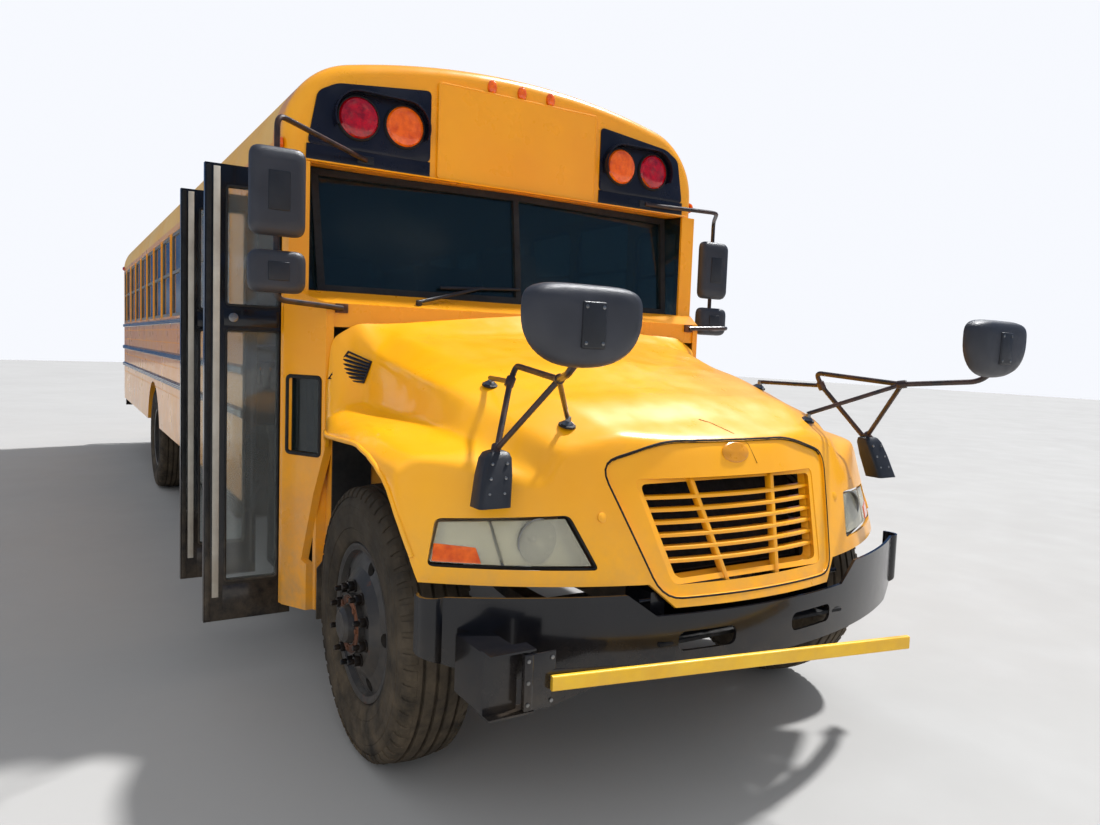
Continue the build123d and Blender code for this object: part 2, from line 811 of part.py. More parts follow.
def hood_pivots():
    """The arms from the hood's nose down to its hinge pins on the bumper's brackets."""
    x, z = HOOD_PIVOT
    y_from, y_to = HOOD_PIVOT_Y
    outline = [(x - 16, z), (x + 16, z), (x, z + 60), (x - 10, z + 120), (x - 50, z + 120)]
    arm = side_profile(outline, y_from, y_to) & hood_plan(1)
    arm += rod_along_y(x, z, 16, y_from, y_to)
    return both_sides(arm - rod_along_y(x, z, HOOD_PIN_RADIUS + RUNNING_GAP, y_from - 5, y_to + 5))


def below_nose():
    """What the hood's lower edge leaves off: it hangs lower across the middle of the nose."""
    inner, outer = NOSE_LOWER_Y
    low = 400
    half = [(0, NOSE_LOWER_Z), (inner, NOSE_LOWER_Z), (outer, HOOD_LOWER_Z), (1300, HOOD_LOWER_Z)]
    return half + [(1300, low), (-1300, low)] + [(-y, z) for y, z in reversed(half[1:])]


def hood_shell():
    """The tilting hood, one moulding with both fenders and the nose."""
    shell = hood_top(0) & hood_plan(0)
    inner = hood_top(HOOD_SKIN) & hood_plan(HOOD_SKIN)
    shell = shell - inner
    shell -= front_profile(below_nose(), HOOD_REAR_X - 200, FRONT_AXLE_X + 1200)
    shell -= block((HOOD_REAR_X - 200, FRONT_AXLE_X - 300), (-1300, 1300), (400, HOOD_REAR_LOW_Z))
    for arch in both_sides(wheel_arch()):
        shell -= arch
    shell -= front_prism(GRILLE_OUTLINE)
    for prism in both_sides(front_prism(LAMP_OUTLINE)):
        shell -= prism
    return joined([shell] + hood_pivots())


def grille():
    """The grille: a raked, bowed panel with six cross bars and two upright ribs."""
    band = hood_plan(4) - hood_plan(4 + GRILLE_DEPTH)
    panel = band & front_prism(spread(GRILLE_OUTLINE, -SEAT_GAP))
    (half_low, low_z), (half_high, high_z) = GRILLE_OUTLINE[1:3]
    pitch = (high_z - low_z - 2 * GRILLE_BORDER) / (GRILLE_BARS + 1)
    bar = pitch * 0.42

    def leaning(low_y, high_y, z):
        return low_y + (high_y - low_y) * (z - low_z) / (high_z - low_z)

    columns = [
        (-GRILLE_RIB_LOW[0], -GRILLE_RIB_HIGH[0], GRILLE_RIB_LOW[0], GRILLE_RIB_HIGH[0]),
        (GRILLE_RIB_LOW[1], GRILLE_RIB_HIGH[1], half_low - GRILLE_BORDER, half_high - GRILLE_BORDER),
    ]
    for i in range(GRILLE_BARS + 1):
        bottom = low_z + GRILLE_BORDER + i * pitch + bar / 2
        top = bottom + pitch - bar
        for left_low, left_high, right_low, right_high in columns:
            slot = [
                (leaning(left_low, left_high, bottom), bottom),
                (leaning(right_low, right_high, bottom), bottom),
                (leaning(right_low, right_high, top), top),
                (leaning(left_low, left_high, top), top),
            ]
            panel -= front_prism(slot)
            if left_low > 0:
                panel -= front_prism([(-y, z) for y, z in slot])
    return panel


def headlamps():
    """Each side has a main lens and a corner lens, let into the hood's skin."""
    band = hood_plan(0) - hood_plan(LAMP_DEPTH)
    top_y, low_y = CORNER_LAMP_Y
    outer_top, inner_top, inner_low, outer_low = spread(LAMP_OUTLINE, -SEAT_GAP)
    top_z = inner_top[1] + (outer_top[1] - inner_top[1]) * 0.6
    low_z = inner_low[1]
    main = [inner_top, (top_y - 2, top_z), (low_y - 2, low_z), inner_low]
    corner = [(top_y + 2, top_z), outer_top, outer_low, (low_y + 2, low_z)]
    lenses = []
    for outline in (main, corner):
        lens = (band & front_prism(outline)).solids()[0]
        lenses += both_sides(lens)
    return lenses


# Running gear


def revolved(profile, y):
    """A turned piece from (offset along the axle, radius) points, centred at a wheel."""
    wire = Polyline(*[(0, t, r) for t, r in profile], close=True)
    turned = revolve(make_face(wire), axis=Axis.Y)
    return Pos(0, y, 0) * turned


# Half of the tyre's section, from the bead to the middle of the tread: across, radius
TYRE_HALF = [
    (82, 289.3),
    (99.6, 289.3),
    (103.6, 298.5),
    (118, 304),
    (136, 360),
    (140, 405),
    (134, 455),
    (122, 492),
    (108, 508),
    (60, 517),
    (0, 520),
]


def tyre(y):
    outer = TYRE_HALF + [(-t, r) for t, r in reversed(TYRE_HALF[:-1])]
    inner = [(-118, 370), (-112, 450), (-60, 492), (60, 492), (112, 450), (118, 370)]
    return revolved(outer + inner, y)


def rim(y, sign, disc_offset):
    """A disc wheel; sign says which way its disc bulges and disc_offset how far."""
    edge = RIM_WIDTH / 2
    seat = BEAD_SEAT_RADIUS
    face = disc_offset
    profile = [
        (-edge, 272),
        (-edge, RIM_RADIUS),
        (-edge + 8, RIM_RADIUS),
        (-edge + 12, seat),
        (edge - 12, seat),
        (edge - 8, RIM_RADIUS),
        (edge, RIM_RADIUS),
        (edge, 272),
        (edge - 20, 262),
        (face - 30, 205),
        (face, 165),
        (face, SPINDLE_RADIUS + RUNNING_GAP),
        (face - 14, SPINDLE_RADIUS + RUNNING_GAP),
        (face - 14, 158),
        (face - 46, 198),
        (edge - 44, 262),
    ]
    wheel = revolved([(sign * t, r) for t, r in profile], y)
    for i in range(HAND_HOLES):
        angle = 360 / HAND_HOLES * i + 18
        hole = Pos(0, y + sign * (face - 45), 0) * Rot(0, angle, 0) * Pos(0, 0, 232)
        wheel -= hole * Rot(90, 0, 0) * Cylinder(26, 160)
    return wheel


def hub(y_from, y_to, cap_to):
    """A wheel hub with its end cap, open at the back for the spindle."""
    sign = 1 if y_to > y_from else -1
    bore = SPINDLE_RADIUS + RUNNING_GAP
    shell = revolved([(y_from, bore), (y_from, HUB_RADIUS), (y_to, HUB_RADIUS), (y_to, bore)], 0)
    cap = revolved(
        [(y_to, 0), (y_to, 72), (cap_to - sign * 12, 66), (cap_to, 50), (cap_to, 0)], 0
    )
    return shell + cap


def front_wheel_pieces():
    """The left front tyre and its rim with the hub, at the front axle."""
    place = Pos(FRONT_AXLE_X, 0, TYRE_RADIUS)
    disc = 138
    wheel = rim(FRONT_WHEEL_Y, 1, disc)
    wheel += hub(FRONT_WHEEL_Y - 60, FRONT_WHEEL_Y + disc + 20, FRONT_WHEEL_Y + disc + 56)
    return place * tyre(FRONT_WHEEL_Y), place * wheel


def rear_wheel_pieces():
    """The left twin tyres and their two rims, at the rear axle."""
    place = Pos(REAR_AXLE_X, 0, TYRE_RADIUS)
    half = DUAL_SPACING / 2
    tyres = [place * tyre(REAR_WHEEL_Y - half), place * tyre(REAR_WHEEL_Y + half)]
    rims = rim(REAR_WHEEL_Y - half, 1, half) + rim(REAR_WHEEL_Y + half, -1, half)
    rims += hub(REAR_WHEEL_Y - 110, REAR_WHEEL_Y + 120, REAR_WHEEL_Y + 165)
    return tyres, place * rims


def front_axle():
    """A forged beam with an eye and a kingpin at each end."""
    z = TYRE_RADIUS
    beam = front_profile(
        [(-640, z - 120), (640, z - 120), (640, z - 30), (-640, z - 30)],
        FRONT_AXLE_X - 45,
        FRONT_AXLE_X + 45,
    )
    arm = front_profile(
        [
            (560, z - 120),
            (690, z - 50),
            (KINGPIN_Y, z - 50),
            (KINGPIN_Y, z + 50),
            (700, z + 50),
            (560, z - 30),
        ],
        FRONT_AXLE_X - 40,
        FRONT_AXLE_X + 40,
    )
    eye = rod_along_z(FRONT_AXLE_X, KINGPIN_Y, 45, z - 60, z + 60)
    pin = rod_along_z(FRONT_AXLE_X, KINGPIN_Y, KINGPIN_RADIUS, z - 105, z + 105)
    return joined([beam] + both_sides(arm) + both_sides(eye) + both_sides(pin))


def knuckle():
    """The left steering knuckle: a fork around the axle's eye, a spindle and a steering arm."""
    z = TYRE_RADIUS
    x = FRONT_AXLE_X
    bore = rod_along_z(x, KINGPIN_Y, KINGPIN_RADIUS + RUNNING_GAP, z - 110, z + 110)
    lugs = []
    for low, high in ((z - 104, z - 60 - SEAT_GAP), (z + 60 + SEAT_GAP, z + 104)):
        lug = rod_along_z(x, KINGPIN_Y, 42, low, high)
        lug += block((x - 42, x + 42), (KINGPIN_Y, KINGPIN_Y + 90), (low, high))
        lugs.append(lug - bore)
    web = block((x - 42, x + 42), (KINGPIN_Y + 55, KINGPIN_Y + 90), (z - 104, z + 104))
    spindle = rod_along_y(x, z, SPINDLE_RADIUS, KINGPIN_Y + 80, FRONT_WHEEL_Y + 150)
    lever = block((x - 190, x - 30), (KINGPIN_Y - 20, KINGPIN_Y + 16), (z - 104, z - 76))
    lever -= bore
    return joined(lugs + [web, spindle, lever])


def rear_axle():
    z = TYRE_RADIUS
    x = REAR_AXLE_X
    tube = rod_along_y(x, z, 62, -560, 560)
    banjo = Pos(x, 0, z) * Rot(0, 90, 0) * Cylinder(190, 150)
    nose = rod_along_x(0, z, 90, x + 60, x + 260)
    spindle = rod_along_y(x, z, SPINDLE_RADIUS, 540, REAR_WHEEL_Y + 110)
    plate = rod_along_y(x, z, 150, 548, 560)
    return joined([tube, banjo, nose, drive_shaft()] + both_sides(spindle) + both_sides(plate))


def spring(x, y, low_z, half_length, rise):
    """A leaf spring pack, bowed down at the middle, where it sits on the axle."""
    thick = SPRING_PACK
    width = 76
    end_z = low_z + rise
    edges = [
        ThreePointArc((x - half_length, y, end_z), (x, y, low_z), (x + half_length, y, end_z)),
        Line((x + half_length, y, end_z), (x + half_length, y, end_z + thick / 2)),
        ThreePointArc(
            (x + half_length, y, end_z + thick / 2),
            (x, y, low_z + thick),
            (x - half_length, y, end_z + thick / 2),
        ),
        Line((x - half_length, y, end_z + thick / 2), (x - half_length, y, end_z)),
    ]
    return Pos(0, -width / 2, 0) * extrude(make_face(edges), amount=width, dir=(0, 1, 0))


SPRING_Y = 393
SPRING_PACK = 52


def leaf_springs():
    rail_low = RAIL_TOP_Z - RAIL_DEPTH
    front_low = TYRE_RADIUS - 30 + SEAT_GAP
    seat_z = rail_low - SPRING_PACK / 2 - SEAT_GAP
    front = spring(FRONT_AXLE_X, SPRING_Y, front_low, 680, seat_z - front_low)
    rear_low = TYRE_RADIUS + 62 + SEAT_GAP
    rear = spring(REAR_AXLE_X, SPRING_Y, rear_low, 720, seat_z - rear_low)
    return both_sides(front) + both_sides(rear)


def chassis_frame():
    """Two channel rails, open side inwards, tied by cross members."""
    low = RAIL_TOP_Z - RAIL_DEPTH
    inner = RAIL_OUTER_Y - RAIL_FLANGE
    rail = front_profile(
        [
            (inner, low),
            (RAIL_OUTER_Y, low),
            (RAIL_OUTER_Y, RAIL_TOP_Z),
            (inner, RAIL_TOP_Z),
            (inner, RAIL_TOP_Z - RAIL_WALL),
            (RAIL_OUTER_Y - RAIL_WALL, RAIL_TOP_Z - RAIL_WALL),
            (RAIL_OUTER_Y - RAIL_WALL, low + RAIL_WALL),
            (inner, low + RAIL_WALL),
        ],
        REAR_X + WALL + SEAT_GAP,
        RAIL_FRONT_X,
    )
    members = []
    web = RAIL_OUTER_Y - RAIL_WALL
    for x in CROSS_MEMBERS:
        members.append(block((x - 40, x + 40), (-web, web), (low + 110, RAIL_TOP_Z - 40)))
    return joined(both_sides(rail) + members)


CROSS_MEMBERS = [
    RAIL_FRONT_X - 60,
    FRONT_AXLE_X - 1300,
    FRONT_AXLE_X - 2900,
    REAR_AXLE_X + 1000,
    REAR_AXLE_X - 1000,
    REAR_X + 300,
]


def floor_sills():
    """Cross sills between the chassis rails and the floor, short over the rear wheels."""
    sills = []
    low, high = RAIL_TOP_Z + SEAT_GAP, FLOOR_Z - FLOOR_THICKNESS + 1
    first = REAR_X + 350
    count = 13
    pitch = (FRONT_AXLE_X - 1950 - first) / (count - 1)
    for i in range(count):
        x = first + i * pitch
        near_wheel = abs(x - REAR_AXLE_X) < TYRE_RADIUS + 60
        half = 560 if near_wheel else BODY_HALF_WIDTH - WALL - SEAT_GAP
        sills.append(block((x - 30, x + 30), (-half, half), (low, high)))
    return sills


STEPWELL_X = (DOOR_REAR_X + 45, DOOR_FRONT_X - 75)
STEPWELL_OUTER_Y = 1085
STEPWELL_LOW_Z = 360


def stepwell():
    """The entrance steps: treads and risers from one bent sheet, closed at both ends."""
    sheet = 16
    y = -STEPWELL_OUTER_Y
    z = STEPWELL_LOW_Z
    top = [(y, z)]
    for _ in range(3):
        y += STEP_DEPTH
        top.append((y, z))
        z += STEP_RISE
        top.append((y, z))
    under = [(y + sheet, z - sheet) for y, z in top]
    under[-1] = (top[-1][0] + sheet, top[-1][1])
    under[0] = (top[0][0], top[0][1] - sheet)
    steps = front_profile(top + list(reversed(under)), STEPWELL_X[0], STEPWELL_X[1])
    inner_y = top[-1][0] + sheet
    ends = []
    for x in (STEPWELL_X[0] - 12, STEPWELL_X[1]):
        end = [
            (-STEPWELL_OUTER_Y, STEPWELL_LOW_Z - sheet),
            (top[1][0] + sheet, STEPWELL_LOW_Z - sheet),
            (inner_y, top[-2][1] - sheet),
            (inner_y, FLOOR_Z - FLOOR_THICKNESS - SEAT_GAP),
            (-STEPWELL_OUTER_Y, FLOOR_Z - FLOOR_THICKNESS - SEAT_GAP),
        ]
        ends.append(front_profile(end, x, x + 12))
    return joined([steps] + ends)


def floor():
    half = BODY_HALF_WIDTH - WALL - SEAT_GAP
    plate = block(
        (REAR_X + WALL + SEAT_GAP, FIREWALL_X - FIREWALL_THICKNESS - SEAT_GAP),
        (-half, half),
        (FLOOR_Z - FLOOR_THICKNESS, FLOOR_Z),
    )
    depth = (FLOOR_Z - FLOOR_THICKNESS - 1, FLOOR_Z + 1)
    for near_x, edge_y in (
        (DOOR_FRONT_X - SEAT_GAP, POST_INNER_Y - 6),
        (FIREWALL_X - 97, LINER_Y - 15 - SEAT_GAP),
    ):
        for corner in both_sides(block((near_x, FIREWALL_X + 10), (edge_y, half + 1), depth)):
            plate -= corner
    well_inner = -STEPWELL_OUTER_Y + 3 * STEP_DEPTH + 16 + SEAT_GAP
    plate -= block(
        (STEPWELL_X[0] - 12 - SEAT_GAP, STEPWELL_X[1] + 12 + SEAT_GAP),
        (-half - 1, well_inner),
        depth,
    )
    plate -= block(
        (DOOR_REAR_X, POST_FRONT_X),
        (-half - 1, -STEPWELL_OUTER_Y),
        depth,
    )
    return joined([plate] + floor_sills())


def engine_block():
    x = FRONT_AXLE_X
    lug_y = RAIL_OUTER_Y - RAIL_WALL - 4
    low = RAIL_TOP_Z - RAIL_DEPTH + RAIL_WALL + SEAT_GAP
    mass = block((x - 640, x + 240), (-300, 300), (700, 1400))
    return mass + block((x - 300, x - 220), (-lug_y, lug_y), (low, low + 70))


def radiator():
    x = FRONT_AXLE_X
    half = RAIL_OUTER_Y - RAIL_FLANGE - SEAT_GAP
    core = block((x + 380, x + 460), (-half, half), (640, 1240))
    tank = block((x + 370, x + 470), (-half, half), (1240, 1300))
    return core + tank


def drive_shaft():
    front = (FRONT_AXLE_X - 645, 0, 760)
    rear = (REAR_AXLE_X + 250, 0, TYRE_RADIUS)
    return tube_between(rear, front, 50)


def fuel_tank():
    x = FRONT_AXLE_X - 3900
    tank = block((x, x + 1300), (-1120, -520), (400, 800))
    tank = fillet(tank.edges().filter_by(Axis.X), 70)
    hanger = block((x + 200, x + 260), (-530, -RAIL_OUTER_Y - SEAT_GAP), (700, 790))
    second = Pos(840, 0, 0) * hanger
    return joined([tank, hanger, second])


def battery_box():
    x = FRONT_AXLE_X - 2350
    box = block((x, x + 620), (560, 1140), (580, 860))
    hanger = block((x + 100, x + 200), (RAIL_OUTER_Y + SEAT_GAP, 570), (700, 840))
    return box + hanger


EXHAUST_RADIUS = 50.8
TAIL_PIPE_Z = 470


def exhaust():
    """The silencer and the tail pipe, over the rear axle and out below the bumper."""
    start_x = FRONT_AXLE_X - 2500
    y = 512
    pipe = bent_tube(
        [
            (start_x, y, 722),
            (REAR_AXLE_X - 900, y, 722),
            (REAR_AXLE_X - 1700, y, TAIL_PIPE_Z),
            (REAR_X + 60, y, TAIL_PIPE_Z),
        ],
        300,
        EXHAUST_RADIUS,
    )
    pipe += rod_along_x(y, TAIL_PIPE_Z, EXHAUST_RADIUS, REAR_X - 150, REAR_X + 60)
    silencer = rod_along_x(y + 60, 690, 125, start_x - 1150, start_x - 50)
    hangers = []
    for x in (start_x - 30, start_x - 1300, REAR_AXLE_X - 700):
        hangers.append(block((x - 15, x + 15), (RAIL_OUTER_Y + SEAT_GAP, y - 30), (712, 732)))
    return joined([pipe, silencer] + hangers)


# Outside fittings


def bumper_plan(inset):
    """The front bumper's outline from above, swept back to its ends."""
    tip = BUMPER_FACE_X - inset
    half = BUMPER_HALF_WIDTH - inset
    end_y = half - 60
    end_x = tip - (BUMPER_RADIUS - sqrt(BUMPER_RADIUS**2 - end_y**2))
    side_x = FRONT_AXLE_X + 611
    back_x = FRONT_AXLE_X + 300
    corner_x = (end_x + side_x) / 2 + 28
    z = BUMPER_LOW_Z - 100
    edges = [
        ThreePointArc((end_x, -end_y, z), (tip, 0, z), (end_x, end_y, z)),
        ThreePointArc((end_x, end_y, z), (corner_x, half - 12, z), (side_x, half, z)),
        Line((side_x, half, z), (back_x, half, z)),
        Line((back_x, half, z), (back_x, -half, z)),
        Line((back_x, -half, z), (side_x, -half, z)),
        ThreePointArc((side_x, -half, z), (corner_x, -half + 12, z), (end_x, -end_y, z)),
    ]
    return extrude(make_face(edges), amount=600, dir=(0, 0, 1))


BUMPER_FRONT_VIEW = [
    (-BUMPER_HALF_WIDTH - 5, BUMPER_LOW_Z + 70),
    (-960, BUMPER_LOW_Z),
    (960, BUMPER_LOW_Z),
    (BUMPER_HALF_WIDTH + 5, BUMPER_LOW_Z + 70),
    (BUMPER_HALF_WIDTH + 5, BUMPER_TOP_Z),
    (548, BUMPER_TOP_Z),
    (445, BUMPER_CENTRE_TOP_Z),
    (-445, BUMPER_CENTRE_TOP_Z),
    (-548, BUMPER_TOP_Z),
    (-BUMPER_HALF_WIDTH - 5, BUMPER_TOP_Z),
]


def front_bumper():
    """A wrap-round steel bumper with returned edges and two tow openings."""
    keep = front_profile(BUMPER_FRONT_VIEW, FRONT_AXLE_X + 600, FRONT_AXLE_X + 1100)
    face = (bumper_plan(0) - bumper_plan(BUMPER_THICKNESS)) & keep
    shelf_zone = bumper_plan(0) - bumper_plan(70)
    reach = (FRONT_AXLE_X + 400, FRONT_AXLE_X + 1200)
    shelf = shelf_zone & keep & block(reach, (-1300, 1300), (BUMPER_LOW_Z, BUMPER_LOW_Z + 12))
    bumper = face + shelf
    for y in (-250, 250):
        slot = block(reach, (y - 115, y + 115), (605, 670))
        bumper -= fillet(slot.edges().filter_by(Axis.X), 26)
    bracket = block(
        (RAIL_FRONT_X + SEAT_GAP, BUMPER_FACE_X), (RAIL_OUTER_Y - 60, RAIL_OUTER_Y), (640, 790)
    )
    bracket = (bracket & bumper_plan(1)) - block(
        (HOOD_PIVOT[0] + HOOD_PIN_RADIUS, BUMPER_FACE_X), (0, 600), (700, 800)
    )
    x, z = HOOD_PIVOT
    pin = rod_along_y(x, z, HOOD_PIN_RADIUS, RAIL_OUTER_Y - 10, HOOD_PIVOT_Y[1] + 3)
    return joined([bumper] + both_sides(bracket + pin))


def rear_bumper():
    x = REAR_X
    face = block((x - 110, x - 98), (-1180, 1180), (560, 830))
    ends = both_sides(block((x - 100, x - 10), (1168, 1180), (560, 830)))
    top = block((x - 100, x - 40), (-1170, 1170), (818, 830))
    low = block((x - 100, x - 40), (-1170, 1170), (560, 572))
    bracket = block((x - 100, x - SEAT_GAP), (RAIL_OUTER_Y - 60, RAIL_OUTER_Y), (700, 790))
    eye_x, eye_z = TOW_EYE
    eye = block((eye_x - 42, eye_x + 42), TOW_EYE_Y, (eye_z, 720))
    eye += rod_along_y(eye_x, eye_z, 42, *TOW_EYE_Y)
    eye -= rod_along_y(eye_x, eye_z, TOW_EYE_RADIUS, TOW_EYE_Y[0] - 1, TOW_EYE_Y[1] + 1)
    return joined([face, top, low] + ends + both_sides(bracket + eye))


# Rear tow eyes, welded to the bumper's brackets
TOW_EYE = (REAR_X - 50, 500)
TOW_EYE_Y = (388, 413)
TOW_EYE_RADIUS = 19


def gate_bracket():
    """The crossing arm's housing on the bumper's right end, with its hinge pin."""
    pivot_x, pivot_y = ARM_PIVOT
    outer = bumper_plan(-SEAT_GAP)
    box = block((pivot_x - 220, pivot_x - 30), (pivot_y - 130, pivot_y - 20), (520, 700)) - outer
    plate = block((pivot_x - 50, pivot_x + 10), (pivot_y - 130, pivot_y + 20), (700, 706))
    lower = block((pivot_x - 50, pivot_x + 10), (pivot_y - 130, pivot_y + 20), (514, 520))
    pin = rod_along_z(pivot_x, pivot_y, 8, 514, 706)
    return joined([box, plate, lower, pin])


def swung(shape, pivot, angle):
    """The shape turned about an upright axis."""
    return Pos(*pivot, 0) * Rot(0, 0, angle) * Pos(-pivot[0], -pivot[1], 0) * shape


def arm_plate():
    """The black swinging plate that the crossing arm is bolted to."""
    x, y = ARM_PIVOT
    plate = [
        (y + 24, ARM_Z - 72),
        (y + 60, ARM_Z - 78),
        (y + 330, ARM_Z + 2),
        (y + 330, ARM_Z + 22),
        (y + 24, ARM_Z + 40),
    ]
    flat = front_profile(plate, x - 4, x + 2)
    collar = rod_along_z(x, y, 18, 528, 692) - rod_along_z(x, y, 8 + RUNNING_GAP, 500, 720)
    strap = block((x - 4, x + 2), (y + 12, y + 40), (540, 660))
    return swung(joined([flat, strap, collar]), ARM_PIVOT, -ARM_REST_ANGLE)


def crossing_arm():
    x, y = ARM_PIVOT
    bar = block(
        (x + 2 + SEAT_GAP, x + 22),
        (y + 70, y + ARM_LENGTH),
        (ARM_Z - ARM_HEIGHT / 2, ARM_Z + ARM_HEIGHT / 2),
    )
    bar = fillet(bar.edges().filter_by(Axis.Y), 6)
    return swung(bar, ARM_PIVOT, -ARM_REST_ANGLE)


def stop_arm_bracket():
    x, y = STOP_HINGE_X, STOP_HINGE_Y
    rail_y = BODY_HALF_WIDTH + RUB_RAILS[1][3] + SEAT_GAP
    base = block((x - 60, x + 60), (rail_y, y - 22), (STOP_Z - 115, STOP_Z + 115))
    ears = []
    for low, high in ((STOP_Z - 115, STOP_Z - 103), (STOP_Z + 103, STOP_Z + 115)):
        ears.append(block((x - 16, x + 16), (y - 30, y + 14), (low, high)))
    pin = rod_along_z(x, y, 7, STOP_Z - 115, STOP_Z + 115)
    return joined([base, pin] + ears)


def stop_blade():
    """The folding octagonal sign, blank, lying back along the body's left side."""
    x, y = STOP_HINGE_X, STOP_HINGE_Y
    half = STOP_WIDTH / 2
    centre_x = x - 60 - half
    side = half * (sqrt(2) - 1)
    corners = [
        (side, half),
        (half, side),
        (half, -side),
        (side, -half),
        (-side, -half),
        (-half, -side),
        (-half, side),
        (-side, half),
    ]
    disc = side_profile([(centre_x + a, STOP_Z + b) for a, b in corners], y - 4, y + 4)
    lamps = []
    for offset in (-165, 165):
        lamps.append(rod_along_y(centre_x, STOP_Z + offset, 40, y - 18, y + 18))
    tongue = block((x - 80, x - 8), (y - 4, y + 4), (STOP_Z - 90, STOP_Z + 90))
    collar = rod_along_z(x, y, 13, STOP_Z - 100, STOP_Z + 100)
    blade = joined([disc, tongue, collar] + lamps)
    return blade - rod_along_z(x, y, 7 + RUNNING_GAP, STOP_Z - 120, STOP_Z + 120)


# Entrance door leaves


def leaf_frame(front_x, sign):
    """A door leaf as it lies when shut, from its hinged edge; sign +1 runs rearward."""
    y_out = -BODY_HALF_WIDTH
    y_in = y_out + LEAF_THICKNESS
    far_x = front_x - sign * LEAF_WIDTH
    frame = block((front_x, far_x), (y_out, y_in), (LEAF_LOW_Z, LEAF_HIGH_Z))
    for low, high in LEAF_PANES:
        frame -= block(
            (front_x - sign * 62, far_x + sign * 90), (y_out - 1, y_in + 1), (low, high)
        )
    return frame


LEAF_PANES = [(470, 1610), (1720, 2240)]


def leaf_glass(front_x, sign):
    middle = -BODY_HALF_WIDTH + LEAF_THICKNESS / 2
    far_x = front_x - sign * LEAF_WIDTH
    panes = []
    for low, high in LEAF_PANES:
        panes.append(
            block(
                (front_x - sign * (62 + SEAT_GAP), far_x + sign * (90 + SEAT_GAP)),
                (middle - GLASS / 2, middle + GLASS / 2),
                (low + SEAT_GAP, high - SEAT_GAP),
            )
        )
    return panes


FRONT_LEAF_X = DOOR_FRONT_X - LEAF_EDGE_GAP
REAR_LEAF_X = DOOR_REAR_X + LEAF_EDGE_GAP
PIVOT_Y = -BODY_HALF_WIDTH + LEAF_THICKNESS
FRONT_PIVOT = (FRONT_LEAF_X - PIVOT_INSET, PIVOT_Y)
REAR_PIVOT = (REAR_LEAF_X + PIVOT_INSET, PIVOT_Y)


def leaf_with_rod(front_x, sign, pivot):
    """A leaf with the upright hinge rod along its back, which reaches up to the header."""
    rod = rod_along_z(*pivot, HINGE_ROD_RADIUS, LEAF_LOW_Z + 60, DOOR_HEADER_Z - SEAT_GAP)
    return leaf_frame(front_x, sign) + rod


def opened(shapes, pivot, angle):
    return [swung(shape, pivot, angle) for shape in shapes]


# Lamps, mirrors and small fittings

# Warning lamps on the front cap: distance from the centre, height, radius
RED_LAMP = (871, 2616, 89)
AMBER_LAMP = (643, 2614, 89)
SIGN_HALF_WIDTH = 468
SIGN_HEIGHT = (2400, 2862)


def warning_lamps(place):
    """A pair of round lamps on the front cap and the matching pair at the rear."""
    y, z, radius = place
    front = rod_along_x(y, z, radius, CAP_FACE_X + 8, CAP_FACE_X + 30)
    rear = rod_along_x(y, z + 40, radius, REAR_X - 30, REAR_X - SEAT_GAP)
    return both_sides(front) + both_sides(rear)


def lamp_panels():
    """The black panels with small visors around the front warning lamps."""
    outer = [(505, 2470), (1090, 2470), (1030, 2735), (505, 2800)]
    panel = front_profile(outer, CAP_FACE_X + SEAT_GAP, CAP_FACE_X + 8 - SEAT_GAP)
    visors = []
    for y, z, radius in (RED_LAMP, AMBER_LAMP):
        ring = rod_along_x(y, z, radius + 14, CAP_FACE_X + 5, CAP_FACE_X + 60)
        ring -= rod_along_x(y, z, radius + 4, CAP_FACE_X, CAP_FACE_X + 70)
        ring -= block((CAP_FACE_X, CAP_FACE_X + 80), (y - 130, y + 130), (z - 130, z + 20))
        visors.append(ring)
    return both_sides(joined([panel] + visors))


def sign_panel():
    low, high = SIGN_HEIGHT
    plate = block(
        (CAP_FACE_X + SEAT_GAP, CAP_FACE_X + 14), (-SIGN_HALF_WIDTH, SIGN_HALF_WIDTH), (low, high)
    )
    return fillet(plate.edges().filter_by(Axis.X), 12)


def marker_lamps():
    """Three small lamps over the sign, one at each front corner and three at the rear."""
    lamps = []
    z = SIGN_HEIGHT[1] + 18
    for y in (-174, 0, 174):
        lamps.append(block((CAP_FACE_X + SEAT_GAP, CAP_FACE_X + 22), (y - 32, y + 32), (z, z + 22)))
        lamps.append(block((REAR_X - 22, REAR_X - SEAT_GAP), (y - 32, y + 32), (2840, 2862)))
    return lamps


def tail_lamps():
    """Stop, tail and turn lamps on the rear wall: distance from the centre, height, radius."""
    lamps = []
    for y, z, radius in ((1000, 1480, 89), (1000, 1270, 89), (560, 1300, 50), (700, 1300, 50)):
        lamps += both_sides(rod_along_x(y, z, radius, REAR_X - 26, REAR_X - SEAT_GAP))
    return lamps


def crossover_mirrors():
    """Oval mirrors on tube frames that stand on the fenders and rest on the hood."""
    x = FRONT_AXLE_X
    base = plan_profile(
        [(x + 370, 740), (x + 500, 740), (x + 500, 880), (x + 370, 880)], 1200, 1345
    )
    base -= hood_top(-SEAT_GAP) & hood_plan(-SEAT_GAP)
    post = bent_tube(
        [(x + 435, 810, 1340), (x + 420, 800, 1600), (x + 800, 860, 1640), (x + 1120, 905, 1600)], 40, 11
    )
    brace = tube_between((x + 440, 810, 1345), (x + 800, 860, 1635), 11)
    shell = Pos(x + 1180, 915, 1640) * Rot(0, 90, 0) * extrude(Ellipse(115, 165), amount=60)
    shell = fillet(shell.edges().sort_by(Axis.X)[-1], 40)
    stem = tube_between((x + 1100, 902, 1603), (x + 1190, 915, 1640), 11)
    return both_sides(joined([base, post, brace, stem, shell]))


